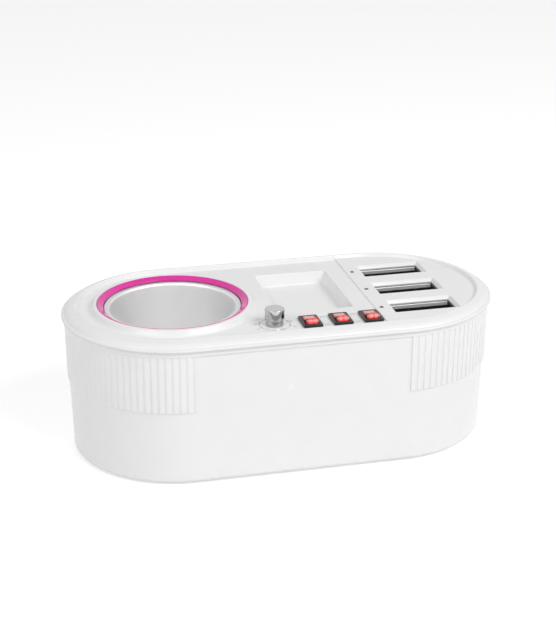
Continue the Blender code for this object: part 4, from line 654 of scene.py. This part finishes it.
pot = softened([(0.0, 0.0348, 0), (0.0497, 0.0348, 0.006), (0.0497, 0.1128, 0.0003), (0.0532, 0.1128, 0.0002),
                (0.0532, 0.1150, 0.0005), (0.0489, 0.1150, 0.0024), (0.0489, 0.0356, 0.006),
                (0.0, 0.0356, 0)], steps=8)
finish_piece(mesh_piece("pot_shell", [(turned(pot, POT, 180), False)]), satin_aluminium, "pot", "aluminium",
             "wax_pot", sharp=40.0)

chamber = softened([(0.0, 0.0327, 0), (0.0515, 0.0327, 0.001), (0.0515, 0.1092, 0.0003), (0.0642, 0.1092, 0.0003),
                    (0.0642, 0.1107, 0.0003), (0.0515, 0.1107, 0.0003), (0.0515, 0.1125, 0.0003),
                    (0.0502, 0.1125, 0.0003), (0.0502, 0.0340, 0.001), (0.0, 0.0340, 0)], steps=3)
finish_piece(mesh_piece("chamber_shell", [(turned(chamber, POT, 120), False)]), satin_aluminium, "casing",
             "aluminium", "heating_chamber", sharp=40.0)

# %% [markdown]
# ## Liners of the cartridge wells
#
# Each well is lined with a box folded from bright sheet. Below a wavy edge about 3 mm under the mouth, the
# sheet is painted black, a painted shade for the dark depth of the well, and above that edge it keeps a
# bright band along the well, while on the end wall the painted black reaches the edge, a painted dark
# reflection. One material does both, because its colour, metal and gloss all change at that painted edge.

# %% Liners
# Height of the painted shade's wavy edge: below it the liner is painted black.
PAINTED_SHADE_EDGE = 0.1072
PAINTED_SHADE_WAVE = 0.006
END_WALL_X = WELL_X + 0.0238

liner_with_painted_shade, tree, shader, place = start_material("bright_aluminium_with_painted_shade", "#E6E6E6", Metallic=1.0,
                                                   Roughness=0.2)
wave = add(tree, "ShaderNodeTexNoise", {"Scale": 1 / PAINTED_SHADE_WAVE, "Detail": 2.0}, {"Vector": place})
height_at = add(tree, "ShaderNodeSeparateXYZ", links={"Vector": place})
wavy = add(tree, "ShaderNodeMath", {"operation": "MULTIPLY_ADD", 1: 0.0005},
           {0: wave.outputs["Fac"], 2: height_at.outputs["Z"]})
unpainted_band = add(tree, "ShaderNodeMapRange", {"From Min": PAINTED_SHADE_EDGE, "From Max": PAINTED_SHADE_EDGE + 0.0004},
           {"Value": wavy.outputs["Value"]})
# On the end wall the painted black reaches the edge, a painted dark reflection.
along_well = add(tree, "ShaderNodeMath", {"operation": "LESS_THAN", 1: END_WALL_X}, {0: height_at.outputs["X"]})
unpainted_band = add(tree, "ShaderNodeMath", {"operation": "MULTIPLY"},
           {0: unpainted_band.outputs["Result"], 1: along_well.outputs["Value"]})
# Painted shade: black below the edge, and the sheet's own bright colour in the band above it.
painted_shade_colour = add(tree, "ShaderNodeMix", {"data_type": "RGBA", 6: linear("#101011"), 7: linear("#F4F4F4")},
           {0: unpainted_band.outputs["Value"]})
dull = add(tree, "ShaderNodeMapRange", {"To Min": 0.4, "To Max": 0.3}, {"Value": unpainted_band.outputs["Value"]})
metal = add(tree, "ShaderNodeMapRange", {"To Min": 0.0, "To Max": 0.6}, {"Value": unpainted_band.outputs["Value"]})
tree.links.new(painted_shade_colour.outputs[2], shader.inputs["Base Color"])
tree.links.new(dull.outputs["Result"], shader.inputs["Roughness"])
tree.links.new(metal.outputs["Result"], shader.inputs["Metallic"])

liner = softened([(0.0, 0.0200, 0.0, 0.0, 0), (0.0252, 0.0200, 0.0120, 0.0024, 0.0006),
                  (0.0252, 0.1090, 0.0120, 0.0024, 0.0003), (0.0270, 0.1090, 0.0138, 0.0024, 0.0002),
                  (0.0270, 0.1100, 0.0138, 0.0024, 0.0002), (0.0242, 0.1100, 0.0110, 0.0015, 0.0004),
                  (0.0242, 0.0210, 0.0110, 0.0015, 0.0006), (0.0, 0.0210, 0.0, 0.0, 0)], steps=4)
for k, y in enumerate(WELL_Y):
    piece = mesh_piece(f"well_liner_{k + 1}", [(framed(liner, (WELL_X, y), 5), False)])
    finish_piece(piece, liner_with_painted_shade, "casing", "polished_aluminium", f"cartridge_sleeve_{k + 1}", sharp=40.0)

# %% [markdown]
# ## Rocker switches
#
# A rocker switch snaps into a hole from above. Its frame lies on the deck, and its rocker tips about two
# small pins below the middle. The frame with its body is a stack of rectangles. The rocker is its own
# side view, a shallow V between two ends that are arcs about the pivot, carried across its width. Tipped
# back by twelve degrees, its far half lies level with the frame and its near end stands up. The lamp behind
# that end glows through two square windows, and ridges on the far half tell a finger which end is which.
# The ridges are painted pale pink with a faint glow, a painted highlight along their crests.

# %% Switch frames and bodies
SWITCH_TOP = 0.1155
frame_rows = softened([(0.0, 0.0992, 0.0, 0.0, 0), (0.0063, 0.0992, 0.0098, 0.0006, 0.0004),
                       (0.0063, 0.1135, 0.0098, 0.0006, 0.0002), (0.0075, 0.1135, 0.0105, 0.0008, 0.0002),
                       (0.0075, 0.1150, 0.0105, 0.0008, 0.0004), (0.0070, SWITCH_TOP, 0.0100, 0.0006, 0.0003),
                       (0.0056, SWITCH_TOP, 0.0091, 0.0004, 0.0003), (0.0055, 0.1032, 0.0090, 0.0003, 0.0003),
                       (0.0, 0.1032, 0.0, 0.0, 0)], steps=3)
blade = softened([(0.0, 0.0932, 0.0, 0.0, 0), (0.0024, 0.0932, 0.0004, 0.0001, 0.0002),
                  (0.0024, 0.1000, 0.0004, 0.0001, 0.0002), (0.0, 0.1000, 0.0, 0.0, 0)], steps=2)
for k, x in enumerate(SWITCH_X):
    stack = [(framed(frame_rows, (x, SWITCH_Y), 4), False)]
    stack += [(framed(blade, (x, SWITCH_Y + y), 2), False) for y in (-0.006, 0.0, 0.006)]
    finish_piece(mesh_piece(f"switch_frame_{k + 1}", stack), black_nylon, "casing", "black_nylon",
                 f"switch_body_{k + 1}", sharp=30.0)

# %% Side view of a rocker
PIVOT_Z = 0.1126
ROCKER_HALF = 0.0052
ROCKER_RADIUS = 0.0086
ROCKER_END = (0.0072, 0.0047)
ROCKER_MIDDLE = 0.00315
TILT = math.radians(-12.0)


def tipped(y, z):
    """Turns a rocker's side view by the tilt t: y cos t - z sin t and y sin t + z cos t."""
    return y * math.cos(TILT) - z * math.sin(TILT), y * math.sin(TILT) + z * math.cos(TILT)


arc_angle = np.radians(np.linspace(-20.0, 31.5, 14))
far_arc = np.stack([ROCKER_RADIUS * np.cos(arc_angle), ROCKER_RADIUS * np.sin(arc_angle)], 1)
top_side = softened([(*far_arc[-1], 0), (*ROCKER_END, 0.0004), (0.0, ROCKER_MIDDLE, 0.0010),
                     (-ROCKER_END[0], ROCKER_END[1], 0.0004), (-far_arc[-1, 0], far_arc[-1, 1], 0)], steps=5)
near_arc = far_arc[::-1] * (-1, 1)
side_yz = np.concatenate([far_arc[:-1], top_side, near_arc[1:], [(-0.0068, -0.0034), (0.0068, -0.0034)]])
across = softened([(-ROCKER_HALF, 0.0, 0), (-ROCKER_HALF, 1.0, 0.0003), (ROCKER_HALF, 1.0, 0.0003),
                   (ROCKER_HALF, 0.0, 0)], steps=4)


def rocker_points(x0):
    """The side view carried across: it keeps its size but for the outer 0.3 mm, where it draws in to the
    side faces as 1 - 0.04 times the share of that edge, and closes to a point in each face's middle."""
    edge = np.clip((ROCKER_HALF - np.abs(across[:, 0])) / 0.0003, 0, 1)
    grow = np.where(across[:, 1] > 0.5, 1 - 0.04 * (1 - edge), across[:, 1])[:, None]
    y, z = tipped(grow * side_yz[None, :, 0], grow * side_yz[None, :, 1])
    return np.stack([x0 + across[:, :1] + 0 * y, SWITCH_Y + y, PIVOT_Z + z], -1)


# %% Raised details of a rocker
def patch_on_rocker(x0, x_low, x_high, path, rise, columns, rows):
    """A patch that follows a path over the rocker, stands out by its rise and sinks in round its edge.

    In words: the place is path(v) plus the path's outward normal times rise(u, v), for u and v from 0 to 1.
    """
    u, v = np.meshgrid(np.linspace(0, 1, columns), np.linspace(0, 1, rows))
    rim = smooth_step(9 * np.minimum(u, np.minimum(1 - u, np.minimum(v, 1 - v))))
    y, z, ny, nz = path(v)
    out = rise(u, v) * rim - 0.00006
    y, z = tipped(y + ny * out, z + nz * out)
    points = np.stack([x0 + x_low + (x_high - x_low) * u, SWITCH_Y + y, PIVOT_Z + z], -1).reshape(-1, 3)
    return points, grid_faces(rows, columns, 0, False, False).tolist()


def near_end(v):
    """The round end, from 6 to 32 degrees up its arc, and then the first 0.7 mm of the top."""
    a = np.radians(6 + 26 * np.minimum(v / 0.85, 1))
    past = 0.0007 * np.clip((v - 0.85) / 0.15, 0, 1)
    slope = (ROCKER_END[1] - ROCKER_MIDDLE) / ROCKER_END[0]
    over = v > 0.85
    return (np.where(over, past - ROCKER_END[0], -ROCKER_RADIUS * np.cos(a)),
            np.where(over, ROCKER_END[1] - slope * past, ROCKER_RADIUS * np.sin(a)),
            np.where(over, slope, -np.cos(a)), np.where(over, 1.0, np.sin(a)))


def far_half(v):
    """The sloping top beyond the middle: from 1.6 to 6.6 mm out."""
    y = 0.0016 + 0.0050 * v
    slope = (ROCKER_END[1] - ROCKER_MIDDLE) / ROCKER_END[0]
    return y, ROCKER_MIDDLE + slope * y, -slope + 0 * y, 1 + 0 * y


for k, x in enumerate(SWITCH_X):
    body = f"rocker_{k + 1}"
    rocker = mesh_piece(f"rocker_key_{k + 1}", [(rocker_points(x), False)])
    finish_piece(rocker, rocker_red, body, "red_lens", f"switch_rocker_{k + 1}", sharp=35.0)
    windows = [patch_on_rocker(x, low, low + 0.0034, near_end, lambda u, v: 0.00022 + 0 * u, 25, 21)
               for low in (-0.0036, 0.0002)]
    finish_piece(mesh_piece(f"rocker_windows_{k + 1}", flats=windows), marker_red, body, "red_lens", sharp=60.0)
    # The ridges carry the painted highlight material, pale pink with a faint glow.
    ridges = patch_on_rocker(x, -0.0044, 0.0044, far_half,
                             lambda u, v: 0.0002 + 0.0001 * np.cos(18 * np.pi * u), 73, 9)
    finish_piece(mesh_piece(f"rocker_ridges_{k + 1}", flats=[ridges]), ridge_painted_highlight, body, "red_lens", sharp=60.0)

# %% [markdown]
# ## The knob
#
# The knob is turned brass under chrome: a plain cap, a fine groove at its waist, and a skirt that flares a
# little towards the deck. A mirror finish shows every flaw in a profile, so it has the most steps of all.

# %% Knob
KNOB_LOW = 0.1137
KNOB_TOP = 0.1264
knob = softened([(0.0, KNOB_LOW, 0), (0.0061, KNOB_LOW, 0.0001), (0.0068, KNOB_LOW, 0.0002),
                 (0.0068, KNOB_LOW + 0.0006, 0.0003), (0.0064, 0.1172, 0.0015), (0.0064, 0.1180, 0.0003),
                 (0.00755, 0.1184, 0.0003), (0.00755, KNOB_TOP, 0.0008), (0.0058, KNOB_TOP, 0.0006),
                 (0.0, KNOB_TOP, 0)], steps=6)
finish_piece(mesh_piece("knob_cap", [(turned(knob, DIAL, 128), False)]), chrome_plate, "knob", "chrome",
             "control_knob", sharp=45.0)

# %% [markdown]
# ## Lamps, feet, base plate and screws
#
# Small parts finish the object. The lamps are round-headed lenses. Each foot is a turned rubber pad. The
# base plate is a flat with vents in it, given its thickness by Solidify. The screws have a pan head with a
# cross recess, which is a dip in the height of the head along two bars.

# %% Lamps and feet
for k, y in enumerate(WELL_Y):
    lens = softened([(0.0, 0.1088, 0), (0.00195, 0.1088, 0.0001), (0.00195, 0.1093, 0.0001), (0.00145, 0.1093, 0.0001),
                     (0.00145, 0.1150, 0.0008), (0.0, 0.1150, 0)], steps=6)
    finish_piece(mesh_piece(f"lamp_lens_{k + 1}", [(turned(lens, (LED_X, y), 32), False)]), lamp_red, "casing",
                 "red_lens", f"indicator_led_{k + 1}", sharp=45.0)
foot_profile = softened([(0.0, 0.0, 0), (0.0064, 0.0, 0.0006), (0.0070, 0.0027, 0.0003), (0.0, 0.0027, 0)], steps=4)
for k, (x, y) in enumerate([(-0.11, -0.05), (0.11, -0.05), (-0.11, 0.05), (0.11, 0.05)]):
    finish_piece(mesh_piece(f"foot_pad_{k + 1}", [(turned(foot_profile, (x, y), 48), False)]), foot_rubber, "casing",
                 "foot_rubber", f"rubber_foot_{k + 1}", sharp=40.0)

# %% Base plate
BASE_UNDERSIDE = 0.0030
base_path = rim_path[::2]
base_edge = swept(np.array([[0.0093]]), np.array([[BASE_UNDERSIDE]]), base_path)[0]
vents = [framed(np.array([[0.0015, BASE_UNDERSIDE, 0.018, 0.0014]]), ((i - 2.5) * 0.009, -0.03), 4)[0]
         for i in range(6)]
screw_holes = [turned(np.array([[0.0017, BASE_UNDERSIDE]]), (x, y), 24)[0] for x in (-0.07, 0.07)
               for y in (-0.072, 0.072)]
plate_points, plate_faces = flat_with_holes([base_edge] + vents + screw_holes, BASE_UNDERSIDE)
plate = mesh_piece("base_cover", flats=[(plate_points, [face[::-1] for face in plate_faces])], outward=False)
thick = plate.modifiers.new("wall", "SOLIDIFY")
thick.thickness = 0.0025
thick.offset = -1.0
finish_piece(plate, glossy_abs, "casing", "white_abs", "base_plate")

# %% Screws
def screw_head(r, angle):
    """Depth of the cross recess at a radius and angle: 1 in two bars 0.8 mm wide that reach 1.7 mm out."""
    across = np.minimum(np.abs(r * np.sin(angle)), np.abs(r * np.cos(angle)))
    return smooth_step((0.0005 - across) / 0.0002) * smooth_step((0.0018 - r) / 0.0003)


def screw_grid(x, y, seat, length):
    """A screw that points up, its head under the seat: a dome with a cross in it below, a thread above.

    The thread's radius is r + 0.15 mm times the sine of 2 pi (height / pitch) minus the angle.
    """
    a = np.arange(32) * 2 * np.pi / 32
    radius = np.linspace(0, 0.0027, 12)[:, None]
    under = seat - 0.0003
    bottom = under - 0.0016 * np.sqrt(np.clip(1 - (radius / 0.0031) ** 2, 0, 1)) + 0.0009 * screw_head(radius, a)
    climb = np.linspace(under, under - 0.0016 + length, 36)[:, None]
    thread = 0.00125 + 0.00015 * np.sin(2 * np.pi * (climb - under) / 0.001 - a)
    r = np.concatenate([radius + 0 * a, [0.0027 + 0 * a], thread, [0 * a]])
    z = np.concatenate([bottom + 0 * a, [under + 0 * a], climb + 0 * a, [climb[-1] + 0 * a]])
    return np.stack([x + r * np.cos(a), y + r * np.sin(a), z], -1)


nodes = frame["nodes"]
for name in sorted(n for n in nodes if "_screw_" in n):
    low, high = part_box(name)
    head = mesh_piece(name.replace("_screw_", "_fixing_"), [
        (screw_grid((low.x + high.x) / 2, (low.y + high.y) / 2, low.z + 0.0019, high.z - low.z), False)])
    finish_piece(head, zinc_plate, "casing", "zinc_plated_steel", name, sharp=40.0)

# %% [markdown]
# ## Marks on the deck
#
# The dial has a thin printed ring with dots and a few plain numbers, and the switches have ON and OFF
# beside them. Printed ink has next to no thickness, so each mark is a flat that stands two hundredths of a
# millimetre off the deck.

# %% Printed marks
INK_Z = STRIP_DECK + 0.00003
printed_ink, tree, shader, place = start_material("grey_pad_printed_ink", "#585859", Roughness=0.45)
speck = add(tree, "ShaderNodeTexNoise", {"Scale": 1 / 0.0004, "Detail": 2.0}, {"Vector": place})
ink = add(tree, "ShaderNodeMix", {"data_type": "RGBA", 6: linear("#48484A"), 7: linear("#68686A")},
          {0: speck.outputs["Fac"]})
tree.links.new(ink.outputs[2], shader.inputs["Base Color"])

dial_radius = 0.0119
circle = turned(np.array([[dial_radius - 0.00013, INK_Z], [dial_radius + 0.00013, INK_Z]]), DIAL, 128)
dots = []
for turn in np.radians(np.arange(8) * 45.0 + 22.5):
    at = (DIAL[0] + dial_radius * math.cos(turn), DIAL[1] + dial_radius * math.sin(turn))
    dots.append((turned(np.array([[0.0, INK_Z + 0.00001], [0.0007, INK_Z + 0.00001]]), at, 16), False))
marks = mesh_piece("dial_print", [(circle, False)] + dots, outward=False)
finish_piece(marks, printed_ink, "casing", "black_nylon")


def label(name, text, x, y, size):
    """A word as a flat mesh that lies on the control strip, its middle at x and y."""
    curve = bpy.data.curves.new(name, "FONT")
    curve.body = text
    curve.size = size
    curve.align_x = "CENTER"
    curve.align_y = "CENTER"
    typed = bpy.data.objects.new(name, curve)
    bpy.context.scene.collection.objects.link(typed)
    bpy.context.view_layer.update()
    mesh = bpy.data.meshes.new_from_object(typed)
    bpy.data.objects.remove(typed)
    mesh.transform(Matrix.Translation((x, y, INK_Z)))
    word = bpy.data.objects.new(name, mesh)
    bpy.context.scene.collection.objects.link(word)
    finish_piece(word, printed_ink, "casing", "black_nylon")


for k, x in enumerate((0.0227, 0.0465)):
    label(f"label_on_{k + 1}", "ON", x, -0.0473, 0.0026)
    label(f"label_off_{k + 1}", "OFF", x, -0.0635, 0.0026)
for k, (number, x, y) in enumerate([("40", -0.0305, -0.0607), ("60", -0.0307, -0.0503), ("80", -0.0030, -0.0503),
                                    ("100", -0.0028, -0.0613)]):
    label(f"dial_number_{k + 1}", number, x, y, 0.0023)

# %% [markdown]
# ## Pieces out of sight
#
# The works inside keep the shapes of the frame, which are right as they are. They still get the finish of
# what they are made of, because someone may lift out the pot or take off the base.

# %% Finishes for the works inside
def plain_finish(name, dark, light, size, **sockets):
    """A material whose colour wanders between two shades over a given size."""
    material, tree, shader, place = start_material(name, light, **sockets)
    cloud = add(tree, "ShaderNodeTexNoise", {"Scale": 1 / size, "Detail": 4.0}, {"Vector": place})
    mixed = add(tree, "ShaderNodeMix", {"data_type": "RGBA", 6: linear(dark), 7: linear(light)},
                {0: cloud.outputs["Fac"]})
    tree.links.new(mixed.outputs[2], shader.inputs["Base Color"])
    return material


spring_steel = plain_finish("blued_spring_steel", "#4A4E5A", "#767A86", 0.004, Metallic=1.0, Roughness=0.3)
nickel = plain_finish("nickel_plated_brass", "#CDC7B8", "#DCD7CB", 0.002, Metallic=1.0, Roughness=0.18)
phenolic = plain_finish("moulded_phenolic", "#2A2320", "#3A302B", 0.003, Roughness=0.45)
mica = plain_finish("mica_and_glass_cloth", "#A08A66", "#C2AE88", 0.002, Roughness=0.6)
ceramic = plain_finish("glazed_heater_ceramic", "#DAD4C4", "#E8E3D6", 0.003, Roughness=0.5)
laminate = plain_finish("solder_masked_laminate", "#12502A", "#1A6636", 0.001, Roughness=0.3)
natural_nylon = plain_finish("natural_nylon", "#DCD6C8", "#E8E3D8", 0.004, Roughness=0.4)
brown_pvc = plain_finish("brown_pvc_sleeve", "#4A2616", "#5C321E", 0.002, Roughness=0.4)
blue_pvc = plain_finish("blue_pvc_sleeve", "#1A3F9A", "#2450B0", 0.002, Roughness=0.4)
green_pvc = plain_finish("green_and_yellow_pvc_sleeve", "#2E7A22", "#C8C020", 0.003, Roughness=0.4)

finishes = {
    "pot_heater_band": mica, "thermal_cutout": phenolic, "thermostat_body": phenolic, "indicator_board": laminate,
    "sleeve_bracket": zinc_plate, "thermostat_nut": zinc_plate, "thermostat_shaft": zinc_plate,
    "mains_inlet": black_nylon, "terminal_block": natural_nylon, "live_wire": brown_pvc,
    "pot_heater_wire": brown_pvc, "switch_wire": brown_pvc, "neutral_wire": blue_pvc, "earth_wire": green_pvc}
for k in range(3):
    finishes[f"sleeve_heater_{k + 1}"] = ceramic
    finishes[f"heater_clip_{k + 1}"] = spring_steel
for pin in ("live", "neutral", "earth"):
    finishes[f"inlet_pin_{pin}"] = nickel
for name, finish in finishes.items():
    nodes[name].data.materials.clear()
    nodes[name].data.materials.append(finish)
for name in ("mains_inlet", "inlet_pin_live", "inlet_pin_neutral", "inlet_pin_earth", "terminal_block"):
    weld = nodes[name].modifiers.new("weld", "WELD")
    weld.merge_threshold = 0.00001
    bevel = nodes[name].modifiers.new("soft_edges", "BEVEL")
    bevel.width = 0.0003
    bevel.segments = 2
    bevel.limit_method = "ANGLE"
    bevel.angle_limit = math.radians(40)
print("finishes given:", len(finishes))

# %% [markdown]
# ## Studio
#
# White on white needs care. The object stands on a pale floor under soft, wide lamps, at a level at which
# a colour comes out about as it is written. The camera sees the floor and the sky as white, because their
# materials answer a camera ray with more light than any other ray.

# %% Floor and sky
def white_for_the_eye(tree, surface, extra):
    """Adds light of its own to a surface, for camera, mirror and see-through rays alone."""
    ray = add(tree, "ShaderNodeLightPath")
    seen = add(tree, "ShaderNodeMath", {"operation": "MAXIMUM"},
               {0: ray.outputs["Is Camera Ray"], 1: ray.outputs["Is Glossy Ray"]})
    seen = add(tree, "ShaderNodeMath", {"operation": "MAXIMUM"},
               {0: seen.outputs["Value"], 1: ray.outputs["Is Transmission Ray"]})
    strength = add(tree, "ShaderNodeMath", {"operation": "MULTIPLY", 1: extra}, {0: seen.outputs["Value"]})
    glow = add(tree, "ShaderNodeEmission", {"Color": (1, 1, 1, 1)}, {"Strength": strength.outputs["Value"]})
    return add(tree, "ShaderNodeAddShader", links={0: surface, 1: glow.outputs["Emission"]})


floor_paint, tree, shader, place = start_material("matt_white_floor", "#F2F2F2", Roughness=0.9)
both = white_for_the_eye(tree, shader.outputs["BSDF"], 0.45)
tree.links.new(both.outputs["Shader"], tree.nodes["Material Output"].inputs["Surface"])

bpy.ops.mesh.primitive_plane_add(size=30.0)
floor = bpy.context.object
floor.name = "studio_floor"
floor.data.materials.append(floor_paint)

world = bpy.data.worlds.new("studio")
bpy.context.scene.world = world
world.use_nodes = True
sky = world.node_tree
ray = add(sky, "ShaderNodeLightPath")
seen = add(sky, "ShaderNodeMath", {"operation": "MAXIMUM"},
           {0: ray.outputs["Is Camera Ray"], 1: ray.outputs["Is Glossy Ray"]})
seen = add(sky, "ShaderNodeMath", {"operation": "MAXIMUM"},
           {0: seen.outputs["Value"], 1: ray.outputs["Is Transmission Ray"]})
level = add(sky, "ShaderNodeMapRange", {"To Min": 0.42, "To Max": 1.0}, {"Value": seen.outputs["Value"]})
sky.links.new(level.outputs["Result"], sky.nodes["Background"].inputs["Strength"])
sky.nodes["Background"].inputs["Color"].default_value = (1, 1, 1, 1)


# %% Lamps
def lamp(name, place, aim, width, height, power):
    """A soft rectangular lamp that faces a point."""
    data = bpy.data.lights.new(name, "AREA")
    data.shape = "RECTANGLE"
    data.size = width
    data.size_y = height
    data.energy = power
    made = bpy.data.objects.new(name, data)
    bpy.context.scene.collection.objects.link(made)
    made.location = place
    made.rotation_euler = (Vector(aim) - Vector(place)).to_track_quat("-Z", "Y").to_euler()
    return made


lamp("key", (0.9, -1.15, 1.35), (0, 0, 0.06), 1.2, 0.8, 16.5)
lamp("fill", (-1.1, -0.9, 1.2), (0, 0, 0.06), 1.0, 0.8, 7.0)

scene = bpy.context.scene
scene.view_settings.view_transform = "Standard"
